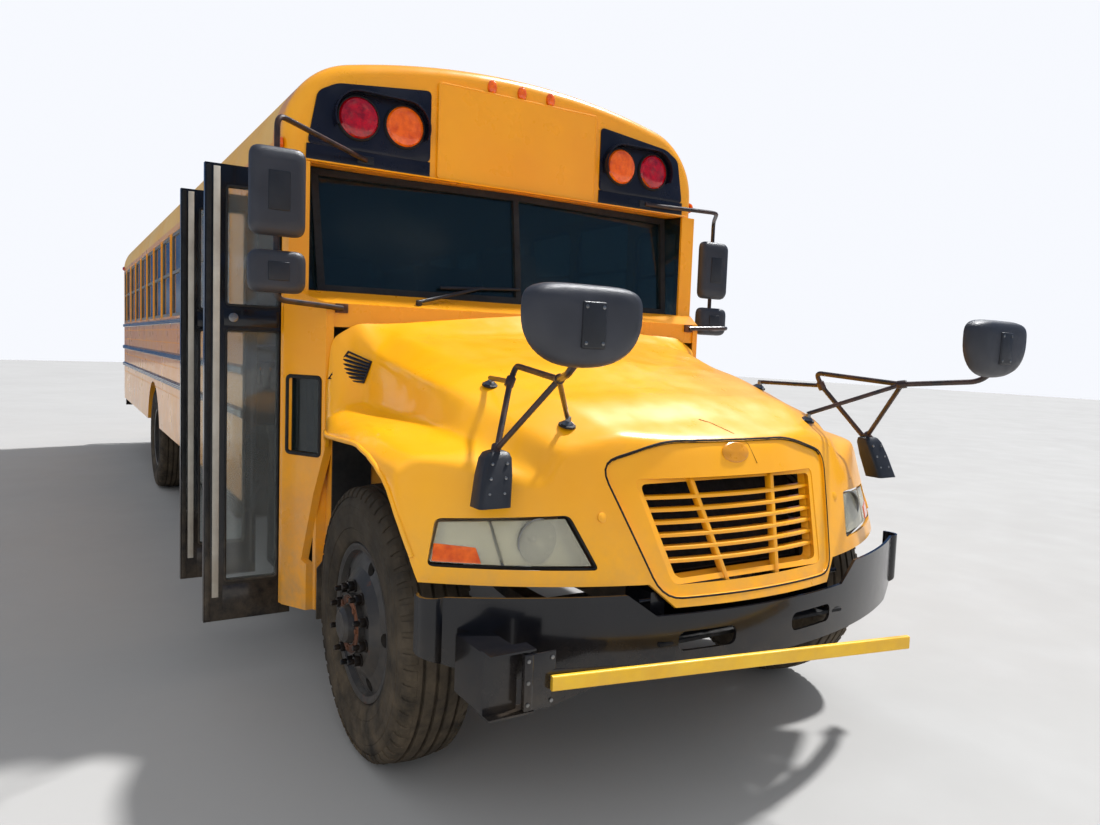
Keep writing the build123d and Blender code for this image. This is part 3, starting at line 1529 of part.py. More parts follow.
# Side mirrors: the heights of the tube's runs, then each head's width, depth and heights
MIRROR_LOW_Z = 1745
MIRROR_HIGH_Z = 2360
FLAT_HEAD = (220, 48, (1985, 2335))
CONVEX_HEAD = (226, 53, (1760, 1930))
MIRROR_TUBE_RADIUS = 12
MIRROR_FOOT_Y = CORNER_FRONT[1] - 68
MIRROR_CLAMP_Y = BODY_HALF_WIDTH - 55
RIGHT_POST = (-480, BODY_HALF_WIDTH + 125)

# The left mirrors stand further back: their post, how far the heads reach out of the body's
# side and how much lower they hang than the right ones
LEFT_POST = (-1340, BODY_HALF_WIDTH + 245)
LEFT_MIRROR_REACH = 325
LEFT_MIRROR_DROP = 60
LEFT_LOW_BEND = (-570, BODY_HALF_WIDTH + 35)
LEFT_HIGH_BEND = (-790, BODY_HALF_WIDTH + 75)


def mirror_mounts():
    """The foot on the cowl's ledge and the clamp at the top of the corner post."""
    y, z = MIRROR_FOOT_Y, MIRROR_LOW_Z - 23
    foot = block((LEDGE_FRONT_X + SEAT_GAP, LEDGE_FRONT_X + 14), (y - 28, y + 28), (z - 20, z + 20))
    y, z = MIRROR_CLAMP_Y, MIRROR_HIGH_Z - 10
    clamp = block((POST_FRONT_X + SEAT_GAP, POST_FRONT_X + 10), (y - 40, y + 40), (z - 30, z + 30))
    return [foot, clamp]


def mirror_frame(low_route, high_route):
    """The tube from the foot along its low and high points to the clamp."""
    start = (LEDGE_FRONT_X + 13, MIRROR_FOOT_Y, MIRROR_LOW_Z - 23)
    end = (POST_FRONT_X + 12, MIRROR_CLAMP_Y, MIRROR_HIGH_Z)
    low = [(FRONT_AXLE_X + x, y, MIRROR_LOW_Z) for x, y in low_route]
    high = [(FRONT_AXLE_X + x, y, MIRROR_HIGH_Z) for x, y in high_route]
    return bent_tube([start] + low + high + [end], 50, MIRROR_TUBE_RADIUS)


def mirror_heads(post_x, y, drop):
    """The flat head over the convex one, ahead of the post and facing back."""
    x = FRONT_AXLE_X + post_x + 2
    heads = []
    for width, depth, (low, high) in (FLAT_HEAD, CONVEX_HEAD):
        head = block((x, x + depth), (y - width / 2, y + width / 2), (low - drop, high - drop))
        heads.append(fillet(head.edges().filter_by(Axis.X), 40))
    return heads


def right_mirror():
    """The right mirrors stand out ahead of the door."""
    heads = mirror_heads(*RIGHT_POST, 0)
    frame = mirror_frame([RIGHT_POST], [RIGHT_POST])
    return mirror(joined(mirror_mounts() + [frame] + heads), about=Plane.XZ)


def left_mirror():
    """The left mirrors stand out beside the driver's window."""
    head_y = BODY_HALF_WIDTH + LEFT_MIRROR_REACH - CONVEX_HEAD[0] / 2
    heads = mirror_heads(LEFT_POST[0], head_y, LEFT_MIRROR_DROP)
    frame = mirror_frame([LEFT_LOW_BEND, LEFT_POST], [LEFT_POST, LEFT_HIGH_BEND])
    return joined(mirror_mounts() + [frame] + heads)


# Wipers: where the pivot and the two ends of the blade lie across the bus
WIPERS = [
    ("right", -620, -440, 0),
    ("left", 130, 310, 750),
]


def wipers():
    """Two wipers, each with a pivot on the ledge, an arm and a blade that lies on the glass."""
    run, fall = LEDGE_FRONT_X - WINDSHIELD_CENTRE_FOOT_X, WINDSHIELD_LOW_Z - LEDGE_FRONT_Z
    length = hypot(run, fall)
    pivot_x = LEDGE_FRONT_X - 45
    ledge_z = LEDGE_FRONT_Z + 45 * fall / run
    half_width = windshield_corners()[0][1]
    lean = WINDSHIELD_CENTRE_FOOT_X - windshield_corners()[0][0]
    arms = []
    for _, pivot_y, blade_from, blade_to in WIPERS:
        base = (pivot_x + SEAT_GAP * fall / length, pivot_y, ledge_z + SEAT_GAP * run / length)
        cap = Plane(origin=base, z_dir=(fall, 0, run)) * Pos(0, 0, 11) * Cylinder(15, 22)
        ends = []
        for y, z in ((blade_from, 1862), (blade_to, 1882)):
            ends.append((WINDSHIELD_CENTRE_FOOT_X - lean * abs(y) / half_width, y, z))
        middle_x, middle_y, middle_z = ((a + b) / 2 for a, b in zip(*ends))
        tip = (middle_x - 3, middle_y + 12, middle_z + 5)
        arm = tube_between((pivot_x, pivot_y, ledge_z + 15), tip, 9)
        arms.append(joined([cap, arm, tube_between(*ends, 8)]))
    return arms


HATCH_RISE = 34.7


def roof_hatches():
    """Two low lids over the emergency roof openings."""
    corner_y = BODY_HALF_WIDTH - ROOF_CORNER_RADIUS
    crown_z = EAVE_Z - sqrt((ROOF_CROWN_RADIUS - ROOF_CORNER_RADIUS) ** 2 - corner_y**2)
    top = crown_z + ROOF_CROWN_RADIUS + HATCH_RISE
    lids = []
    for x in (REAR_AXLE_X - 1200, FRONT_AXLE_X - 4200):
        lid = block((x - 300, x + 300), (-300, 300), (top - 70, top))
        roof = roof_solid(x - 400, x + 400, -SEAT_GAP)
        lids.append(lid - roof)
    return lids


def mud_flaps():
    """Rubber flaps behind the front and the rear wheels."""
    front = front_profile(
        [(860, 330), (1100, 330), (1100, 560), (LINER_Y - 2, 640), (LINER_Y - 2, 1250), (860, 1250)],
        FIREWALL_X + SEAT_GAP,
        FIREWALL_X + 12,
    )
    rear = block(
        (REAR_AXLE_X - 660, REAR_AXLE_X - 648), (590, 1150), (250, FLOOR_Z - FLOOR_THICKNESS - SEAT_GAP)
    )
    return both_sides(front) + both_sides(rear)


# Inside


SEAT_PITCH = 700
SEAT_ROWS = 11
SEAT_WIDTH = 980
FIRST_SEAT_X = REAR_X + 700


def passenger_seats():
    """Two columns of high-backed bench cushions."""
    pads = []
    for i in range(SEAT_ROWS):
        x = FIRST_SEAT_X + i * SEAT_PITCH
        for sign in (-1, 1):
            near = sign * (BODY_HALF_WIDTH - WALL - 12)
            far = near - sign * SEAT_WIDTH
            low_y, high_y = min(near, far), max(near, far)
            pads.append(block((x - 40, x + 360), (low_y, high_y), (FLOOR_Z + 330, FLOOR_Z + 440)))
            back = [
                (x - 130, FLOOR_Z + 330),
                (x - 45, FLOOR_Z + 330),
                (x - 95, FLOOR_Z + 1060),
                (x - 160, FLOOR_Z + 1060),
            ]
            pads.append(side_profile(back, low_y, high_y))
    return pads


def seat_frames():
    """Floor legs and seat rails under every bench."""
    frames = []
    for i in range(SEAT_ROWS):
        x = FIRST_SEAT_X + i * SEAT_PITCH
        for sign in (-1, 1):
            near = sign * (BODY_HALF_WIDTH - WALL - 12)
            far = near - sign * SEAT_WIDTH
            low_y, high_y = min(near, far) + 10, max(near, far) - 10
            rail = block((x - 120, x + 340), (low_y, high_y), (FLOOR_Z + 300, FLOOR_Z + 330 - SEAT_GAP))
            leg_y = far + sign * 120
            legs = []
            height = (FLOOR_Z + SEAT_GAP, FLOOR_Z + 310)
            for leg_x in (x - 60, x + 260):
                legs.append(block((leg_x - 18, leg_x + 18), (leg_y - 18, leg_y + 18), height))
            frames.append(joined([rail] + legs))
    return frames


DRIVER_X = FRONT_AXLE_X - 1750
DRIVER_Y = 560


def driver_pedestal():
    x, y = DRIVER_X, DRIVER_Y
    top = FLOOR_Z + 330 - SEAT_GAP
    return block((x - 160, x + 160), (y - 150, y + 150), (FLOOR_Z + SEAT_GAP, top))


def driver_seat():
    x, y = DRIVER_X, DRIVER_Y
    cushion = block((x - 230, x + 250), (y - 240, y + 240), (FLOOR_Z + 330, FLOOR_Z + 450))
    back = side_profile(
        [
            (x - 300, FLOOR_Z + 400),
            (x - 200, FLOOR_Z + 400),
            (x - 260, FLOOR_Z + 1130),
            (x - 350, FLOOR_Z + 1130),
        ],
        y - 230,
        y + 230,
    )
    return cushion + back


def dashboard():
    x = LID_REAR_X - SEAT_GAP
    profile = [
        (x, 1200),
        (x, 1600),
        (x - 160, 1600),
        (x - 330, 1550),
        (x - 330, 1420),
        (x - 240, 1200),
    ]
    return side_profile(profile, -360, LINER_Y - 25) + steering_column()


STEERING_CENTRE = (FRONT_AXLE_X - 1230, DRIVER_Y, 1560)
STEERING_TILT = 55


def along_column(distance):
    """A point on the steering column's axis, measured forward and down from the wheel."""
    x, y, z = STEERING_CENTRE
    tilt = radians(STEERING_TILT)
    return (x + distance * sin(tilt), y, z - distance * cos(tilt))


def steering_wheel():
    ring = Torus(222, 15)
    boss = Cylinder(45, 50)
    spoke = Pos(110, 0, 0) * Box(220, 30, 14)
    wheel = joined([ring, boss, spoke, Rot(0, 0, 120) * spoke, Rot(0, 0, 240) * spoke])
    return Pos(*STEERING_CENTRE) * Rot(0, -STEERING_TILT, 0) * wheel


def steering_column():
    return tube_between(along_column(25 + SEAT_GAP), along_column(320), 24)


def pieces():
    """Every node's name with its solids."""
    front_tyre, front_rim = front_wheel_pieces()
    rear_tyres, rear_rims = rear_wheel_pieces()
    front_leaf = leaf_with_rod(FRONT_LEAF_X, 1, FRONT_PIVOT)
    rear_leaf = leaf_with_rod(REAR_LEAF_X, -1, REAR_PIVOT)
    return {
        "roof_panel": [roof_panel()],
        "front_cap": [front_cap()],
        "side_wall_right": [side_wall(RIGHT_SPANS, DOOR_REAR_X, -1) + door_header()],
        "side_wall_left": [side_wall(LEFT_SPANS, DOOR_FRONT_X, 1)],
        "window_sashes": window_sashes(RIGHT_SPANS, -1) + window_sashes(LEFT_SPANS, 1),
        "window_glass": side_glass(RIGHT_SPANS, -1) + side_glass(LEFT_SPANS, 1) + rear_glass(),
        "rub_rails": rub_rails(),
        "rear_wall": [rear_wall()],
        "emergency_door": [emergency_door()],
        "emergency_glass": emergency_glass(),
        "cowl": [cowl()],
        "windshield_frame": [windshield_frame()],
        "front_glass": windshield_glass() + corner_glass() + cowl_glass(),
        "hood_shell": [hood_shell()],
        "grille": [grille()],
        "headlamps": headlamps(),
        "front_tyre_left": [front_tyre],
        "front_tyre_right": [mirror(front_tyre, about=Plane.XZ)],
        "front_rim_left": [front_rim],
        "front_rim_right": [mirror(front_rim, about=Plane.XZ)],
        "rear_tyres_left": rear_tyres,
        "rear_tyres_right": [mirror(t, about=Plane.XZ) for t in rear_tyres],
        "rear_rims_left": [rear_rims],
        "rear_rims_right": [mirror(rear_rims, about=Plane.XZ)],
        "front_axle": [front_axle()],
        "knuckle_left": [knuckle()],
        "knuckle_right": [mirror(knuckle(), about=Plane.XZ)],
        "rear_axle": [rear_axle()],
        "leaf_springs": leaf_springs(),
        "chassis_frame": [chassis_frame()],
        "floor": [floor()],
        "stepwell": [stepwell()],
        "engine_block": [engine_block()],
        "radiator": [radiator()],
        "tank_and_battery_box": [fuel_tank(), battery_box()],
        "exhaust": [exhaust()],
        "front_bumper": [front_bumper()],
        "rear_bumper": [rear_bumper()],
        "arm_brackets": [gate_bracket(), stop_arm_bracket()],
        "arm_plate": [arm_plate()],
        "crossing_arm": [crossing_arm()],
        "stop_blade": [stop_blade()],
        "door_leaf_front": opened([front_leaf], FRONT_PIVOT, 90),
        "door_glass_front": opened(leaf_glass(FRONT_LEAF_X, 1), FRONT_PIVOT, 90),
        "door_leaf_rear": opened([rear_leaf], REAR_PIVOT, -90),
        "door_glass_rear": opened(leaf_glass(REAR_LEAF_X, -1), REAR_PIVOT, -90),
        "warning_lamps": warning_lamps(RED_LAMP) + warning_lamps(AMBER_LAMP),
        "lamp_panels": lamp_panels(),
        "sign_panel": [sign_panel()],
        "small_lamps": marker_lamps() + tail_lamps(),
        "crossover_mirrors": crossover_mirrors(),
        "side_mirrors": [right_mirror(), left_mirror()],
        "wipers": wipers(),
        "roof_hatches": roof_hatches(),
        "mud_flaps": mud_flaps(),
        "seat_cushions": passenger_seats() + [driver_seat()],
        "seat_frames": seat_frames() + [driver_pedestal()],
        "dashboard": [dashboard()],
        "steering_wheel": [steering_wheel()],
    }


def main():
    os.makedirs("parts", exist_ok=True)
    for name, shapes in pieces().items():
        solids = [solid for shape in shapes for solid in shape.solids()]
        export_step(Compound(children=solids), os.path.join("parts", name + ".step"))


main()
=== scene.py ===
"""The looks of a yellow school bus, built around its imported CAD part. Lengths are in metres."""

from contextlib import contextmanager
from math import copysign, cos, hypot, pi, radians, sin, sqrt

import bpy
from mathutils import Matrix, Vector


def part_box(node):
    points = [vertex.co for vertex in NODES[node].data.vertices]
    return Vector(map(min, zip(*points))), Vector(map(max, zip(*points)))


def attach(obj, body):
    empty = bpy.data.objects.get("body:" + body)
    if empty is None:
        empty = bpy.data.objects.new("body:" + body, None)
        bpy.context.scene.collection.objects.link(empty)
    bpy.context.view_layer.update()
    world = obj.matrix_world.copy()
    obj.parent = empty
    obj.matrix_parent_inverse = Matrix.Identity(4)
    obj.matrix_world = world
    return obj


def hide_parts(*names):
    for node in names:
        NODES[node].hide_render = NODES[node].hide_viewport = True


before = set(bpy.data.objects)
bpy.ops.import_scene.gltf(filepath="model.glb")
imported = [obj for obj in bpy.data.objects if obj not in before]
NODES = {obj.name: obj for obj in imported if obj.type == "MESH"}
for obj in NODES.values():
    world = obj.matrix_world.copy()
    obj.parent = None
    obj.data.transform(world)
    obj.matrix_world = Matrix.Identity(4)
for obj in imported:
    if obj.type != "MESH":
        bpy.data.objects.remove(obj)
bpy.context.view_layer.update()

# Places read from the frame

TYRE_LOW, TYRE_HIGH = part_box("front_tyre_left")
FRONT_X = (TYRE_LOW.x + TYRE_HIGH.x) / 2
TYRE_R = (TYRE_HIGH.z - TYRE_LOW.z) / 2
TYRE_Y = (TYRE_LOW.y + TYRE_HIGH.y) / 2
REAR_LOW, REAR_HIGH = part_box("rear_tyres_left")
REAR_AXLE_X = (REAR_LOW.x + REAR_HIGH.x) / 2
BODY_Y = 1.205
REAR_X = FRONT_X - 10.3
CAP_X = FRONT_X - 0.895
SIDES = ((-1, "right"), (1, "left"))

# Camera, from the photograph's perspective

CAMERA_PLACE = (7.5306, -2.1039, 1.5713)
CAMERA_YAW = 2.59074257
CAMERA_PITCH = -0.0764309303
CAMERA_ROLL = 0.0363733251
CAMERA_LENS = 26.652

# Hood sections from the cowl to the nose: distance from the front axle, then half outlines

HOOD_SECTIONS = [
    (-0.65, (0, 1.745), (0.72, 1.67), (0.93, 1.66), (1.05, 1.59), (1.062, 1.46), (1.072, 1.34)),
    (-0.5, (0, 1.65), (0.785, 1.61), (0.912, 1.522), (0.935, 1.318), (1.035, 1.296), (1.13, 1.235)),
    (0.0, (0, 1.56), (0.67, 1.5), (0.845, 1.435), (0.912, 1.275), (1.105, 1.27), (1.195, 1.215)),
    (0.45, (0, 1.42), (0.55, 1.4), (0.76, 1.33), (0.862, 1.235), (1.075, 1.205), (1.195, 1.12)),
    (0.7, (0, 1.31), (0.45, 1.3), (0.66, 1.23), (0.705, 1.135), (0.985, 1.11), (1.195, 1.01)),
    (1.04, (0, 1.12), (0.33, 1.118), (0.52, 1.06), (0.56, 1.01), (0.86, 0.985), (1.195, 0.88)),
]
HOOD_REAR = -0.65
HOOD_VOXEL = 0.016
HOOD_SKIN = 0.014
NOSE_RADIUS = 1.785
NOSE_TIP = 0.93
NOSE_HEIGHT = 0.85
NOSE_RAKE = 0.35
NOSE_CORNER_Y = 1.13
GRILLE_OUTLINE = [(-0.357, 0.812), (0.357, 0.812), (0.436, 1.149), (-0.436, 1.149)]
LAMP_OUTLINE = [(1.052, 1.018), (0.668, 1.037), (0.6, 0.868), (1.088, 0.87)]


# Modelling helpers

def focus(obj):
    """Only this object is selected and active."""
    bpy.ops.object.select_all(action="DESELECT")
    obj.select_set(True)
    bpy.context.view_layer.objects.active = obj
    return obj


@contextmanager
def editing(obj, select="SELECT"):
    focus(obj)
    bpy.ops.object.mode_set(mode="EDIT")
    bpy.ops.mesh.select_all(action=select)
    yield
    bpy.ops.object.mode_set(mode="OBJECT")


def pick_faces(obj, wanted):
    """Selects the faces that the test wants, and nothing else."""
    focus(obj)
    bpy.ops.object.mode_set(mode="EDIT")
    bpy.ops.mesh.select_mode(type="FACE")
    bpy.ops.mesh.select_all(action="DESELECT")
    bpy.ops.object.mode_set(mode="OBJECT")
    for face in obj.data.polygons:
        face.select = bool(wanted(face))


def new_piece(name):
    obj = bpy.context.active_object
    obj.name = name
    bpy.ops.object.transform_apply(location=True, rotation=True, scale=True)
    return obj


def modified(obj, kind, **settings):
    """Adds a modifier and applies it."""
    focus(obj)
    modifier = obj.modifiers.new(kind.title(), kind)
    for key, value in settings.items():
        setattr(modifier, key, value)
    bpy.ops.object.modifier_apply(modifier=modifier.name)
    return obj


def bevelled(obj, width, segments=2, angle=30):
    return modified(
        obj, "BEVEL", width=width, segments=segments, limit_method="ANGLE",
        angle_limit=radians(angle), use_clamp_overlap=True,
    )


def closed_outwards(obj):
    with editing(obj):
        bpy.ops.mesh.remove_doubles(threshold=0.00002)
        bpy.ops.mesh.normals_make_consistent(inside=False)
    return obj


def smooth(obj, angle=35):
    focus(obj)
    bpy.ops.object.shade_smooth_by_angle(angle=radians(angle))
    return obj


def block(low, high, edge=0.003, segments=2):
    """A box with rounded edges between two corners."""
    bpy.ops.object.select_all(action="DESELECT")
    size = [abs(b - a) for a, b in zip(low, high)]
    centre = [(a + b) / 2 for a, b in zip(low, high)]
    bpy.ops.mesh.primitive_cube_add(size=1, location=centre, scale=size)
    obj = new_piece("block")
    return bevelled(obj, min(edge, min(size) * 0.45), segments) if edge else obj


def rod(start, end, radius, edge=0.002, sides=24, end_radius=None):
    """A round bar, or a cone's frustum, between two points."""
    bpy.ops.object.select_all(action="DESELECT")
    start, end = Vector(start), Vector(end)
    axis = end - start
    bpy.ops.mesh.primitive_cone_add(
        vertices=sides, radius1=radius, radius2=radius if end_radius is None else end_radius,
        depth=axis.length, location=(start + end) / 2,
        rotation=axis.to_track_quat("Z", "Y").to_euler(),
    )
    obj = new_piece("rod")
    return bevelled(obj, min(edge, radius * 0.4, axis.length * 0.4)) if edge else obj


def plate(outline, push, edge=0.002, segments=2):
    """A flat outline of points, extruded by a vector, with its edges rounded."""
    bpy.ops.object.select_all(action="DESELECT")
    bpy.ops.mesh.primitive_circle_add(vertices=len(outline), fill_type="NGON")
    obj = new_piece("plate")
    for vertex, point in zip(obj.data.vertices, outline):
        vertex.co = point
    with editing(obj):
        bpy.ops.mesh.extrude_region_move(TRANSFORM_OT_translate={"value": push})
        bpy.ops.mesh.select_all(action="SELECT")
        bpy.ops.mesh.normals_make_consistent(inside=False)
    return bevelled(obj, edge, segments) if edge else obj


def ring_of(points):
    """An open loop of edges through the points."""
    bpy.ops.object.select_all(action="DESELECT")
    bpy.ops.mesh.primitive_circle_add(vertices=len(points), fill_type="NOTHING")
    obj = new_piece("ring")
    for vertex, point in zip(obj.data.vertices, points):
        vertex.co = point
    return obj


def bridged(rings):
    """A closed solid through rings of points, from the first to the last."""
    first = joined([ring_of(points) for points in rings])
    with editing(first):
        bpy.ops.mesh.select_mode(type="EDGE")
        bpy.ops.mesh.bridge_edge_loops()
        bpy.ops.mesh.select_all(action="SELECT")
        bpy.ops.mesh.fill_holes(sides=0)
    return closed_outwards(first)


def turned(profile, centre, axis, steps=48):
    """A closed profile of (along the axis, radius) points, spun round the axis."""
    centre, axis = Vector(centre), Vector(axis).normalized()
    side = axis.orthogonal().normalized()
    obj = ring_of([centre + axis * along + side * radius for along, radius in profile])
    with editing(obj):
        bpy.ops.mesh.spin(steps=steps, angle=2 * pi, center=centre, axis=axis)
        bpy.ops.mesh.select_all(action="SELECT")
        bpy.ops.mesh.remove_doubles(threshold=0.00002)
        bpy.ops.mesh.dissolve_degenerate(threshold=0.00001)
        bpy.ops.mesh.select_all(action="SELECT")
        bpy.ops.mesh.normals_make_consistent(inside=False)
    return obj


def rounded_path(points, bend, steps=6):
    """The points' runs with each corner turned into a round bend."""
    points = [Vector(p) for p in points]
    path = [points[0]]
    for before, corner, after in zip(points, points[1:], points[2:]):
        reach = min(bend, (before - corner).length * 0.45, (after - corner).length * 0.45)
        start = corner + (before - corner).normalized() * reach
        end = corner + (after - corner).normalized() * reach
        for i in range(steps + 1):
            t = i / steps
            path.append(start * (1 - t) ** 2 + corner * 2 * t * (1 - t) + end * t**2)
    path.append(points[-1])
    return path


def tube(points, radius, bend=0.04, closed=False, sides=3, round_bends=True):
    """A round bar along runs with rounded bends."""
    path = rounded_path(points, bend) if round_bends else points
    curve = bpy.data.curves.new("tube", "CURVE")
    curve.dimensions = "3D"
    curve.bevel_depth = radius
    curve.bevel_resolution = sides
    curve.use_fill_caps = True
    spline = curve.splines.new("POLY")
    spline.points.add(len(path) - 1)
    for point, place in zip(spline.points, path):
        point.co = (*place, 1)
    spline.use_cyclic_u = closed
    obj = bpy.data.objects.new("tube", curve)
    bpy.context.scene.collection.objects.link(obj)
    focus(obj)
    bpy.ops.object.convert(target="MESH")
    return closed_outwards(bpy.context.active_object)


def seal(points, radius, sides=2):
    """A thin closed bead through the points."""
    return tube(points, radius, closed=True, sides=sides, round_bends=False)


def joined(pieces):
    """One object from several, which keep their own finishes."""
    if len(pieces) == 1:
        return pieces[0]
    bpy.ops.object.select_all(action="DESELECT")
    for piece in pieces:
        piece.select_set(True)
    bpy.context.view_layer.objects.active = pieces[0]
    bpy.ops.object.join()
    return bpy.context.active_object


def copied(obj):
    focus(obj)
    bpy.ops.object.duplicate()
    return bpy.context.active_object


def moved(obj, offset=(0, 0, 0), turn=0, axis="Z", centre=(0, 0, 0)):
    """The object turned about a point and then moved, with its place kept in its mesh."""
    there, back = Matrix.Translation(centre), Matrix.Translation(-Vector(centre))
    spin = there @ Matrix.Rotation(turn, 4, axis) @ back
    obj.matrix_world = Matrix.Translation(offset) @ spin @ obj.matrix_world
    focus(obj)
    bpy.ops.object.transform_apply(location=True, rotation=True, scale=True)
    return obj


def cut(obj, tool, operation="DIFFERENCE"):
    modified(obj, "BOOLEAN", object=tool, operation=operation, solver="EXACT")
    bpy.data.objects.remove(tool)
    return obj


def painted(obj, finish):
    """The whole piece in one finish."""
    obj.data.materials.clear()
    obj.data.materials.append(FINISHES[finish])
    return obj


def fitted(obj, name, body, finish=None, replaces=(), angle=35):
    """Names a finished piece and lets it ride on its body."""
    obj.name = name
    if finish:
        painted(obj, finish)
    smooth(obj, angle)
    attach(obj, body)
    if replaces:
        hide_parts(*replaces)
    return obj


# Finishes

FINISHES = {}


def node_tree(name):
    material = bpy.data.materials.new(name)
    material.use_nodes = True
    FINISHES[name] = material
    tree = material.node_tree
    return tree, tree.nodes["Principled BSDF"]


def set_inputs(node, **values):
    """Sets a node's plain inputs, with underscores for the spaces in their names."""
    for name, value in values.items():
        node.inputs[name.replace("_", " ")].default_value = value
    return node


def add_noise(tree, scale, detail=4, rough=0.55, source="Object"):
    place = tree.nodes.new("ShaderNodeTexCoord")
    noise = tree.nodes.new("ShaderNodeTexNoise")
    set_inputs(noise, Scale=scale, Detail=detail, Roughness=rough)
    tree.links.new(place.outputs[source], noise.inputs["Vector"])
    return noise.outputs["Fac"]


def add_range(tree, value, from_low, from_high, to_low=0.0, to_high=1.0):
    node = tree.nodes.new("ShaderNodeMapRange")
    set_inputs(node, From_Min=from_low, From_Max=from_high, To_Min=to_low, To_Max=to_high)
    tree.links.new(value, node.inputs["Value"])
    return node.outputs["Result"]


def add_product(tree, a, b):
    node = tree.nodes.new("ShaderNodeMath")
    node.operation = "MULTIPLY"
    tree.links.new(a, node.inputs[0])
    if isinstance(b, (int, float)):
        node.inputs[1].default_value = b
    else:
        tree.links.new(b, node.inputs[1])
    return node.outputs["Value"]


def add_mix(tree, amount, under, over):
    """Mixes two colours, each a socket or a plain colour."""
    node = tree.nodes.new("ShaderNodeMix")
    node.data_type = "RGBA"
    tree.links.new(amount, node.inputs["Factor"])
    for socket, colour in ((node.inputs[6], under), (node.inputs[7], over)):
        if isinstance(colour, tuple):
            socket.default_value = (*colour, 1)
        else:
            tree.links.new(colour, socket)
    return node.outputs[2]


def height_of(tree):
    place = tree.nodes.new("ShaderNodeTexCoord")
    split = tree.nodes.new("ShaderNodeSeparateXYZ")
    tree.links.new(place.outputs["Object"], split.inputs["Vector"])
    return split.outputs["Z"]


def add_bump(tree, shader, value, strength, distance=0.002):
    bump = tree.nodes.new("ShaderNodeBump")
    set_inputs(bump, Strength=strength, Distance=distance)
    tree.links.new(value, bump.inputs["Height"])
    tree.links.new(bump.outputs["Normal"], shader.inputs["Normal"])


def srgb(r, g, b):
    """A colour as written on screen, in the linear values that the shader takes."""
    return tuple((v / 255 / 12.92 if v <= 10 else ((v / 255 + 0.055) / 1.055) ** 2.4) for v in (r, g, b))


DUST = srgb(150, 130, 104)
RUST = srgb(112, 58, 28)


def finish(
    name, colour, rough, second, patch=3.0, metal=0.0, coat=0.0, grain=60.0, grain_depth=0.1,
    dust=0.0, dust_height=(0.5, 1.3), rust=0.0, specular=0.5,
):
    """A worn solid finish: two close colours in patches, fine grain, dust low down and rust spots."""
    tree, shader = node_tree(name)
    colour, second = srgb(*colour), srgb(*second)
    set_inputs(shader, Metallic=metal, Coat_Weight=coat, Coat_Roughness=0.08,
               Specular_IOR_Level=specular)
    patches = add_noise(tree, patch, 5)
    base = add_mix(tree, add_range(tree, patches, 0.35, 0.68), colour, second)
    roughness = add_range(tree, add_noise(tree, patch * 5, 4), 0.3, 0.7, rough * 0.85, rough * 1.2)
    if dust:
        low, high = dust_height
        settled = add_range(tree, height_of(tree), high, low)
        specks = add_range(tree, add_noise(tree, 9, 6, 0.7), 0.3, 0.65)
        base = add_mix(tree, add_product(tree, add_product(tree, settled, specks), dust), base, DUST)
    if rust:
        spots = add_range(tree, add_noise(tree, 7, 6, 0.7), 0.62 - 0.1 * rust, 0.7 - 0.1 * rust)
        base = add_mix(tree, spots, base, RUST)
    tree.links.new(base, shader.inputs["Base Color"])
    tree.links.new(roughness, shader.inputs["Roughness"])
    add_bump(tree, shader, add_noise(tree, grain, 3), grain_depth)
    return FINISHES[name]


def glass(name, colour, rough=0.02, dim=0.9, shine=0.5):
    """Clear or tinted glazing with faint grime."""
    tree, shader = node_tree(name)
    set_inputs(shader, Transmission_Weight=dim, IOR=1.45, Specular_IOR_Level=shine)
    grime = add_range(tree, add_noise(tree, 4, 6, 0.7), 0.35, 0.75)
    base = add_mix(tree, add_product(tree, grime, 0.25), colour, tuple(v * 0.8 for v in colour))
    tree.links.new(base, shader.inputs["Base Color"])
    tree.links.new(add_range(tree, grime, 0, 1, rough, rough + 0.12), shader.inputs["Roughness"])
    return FINISHES[name]


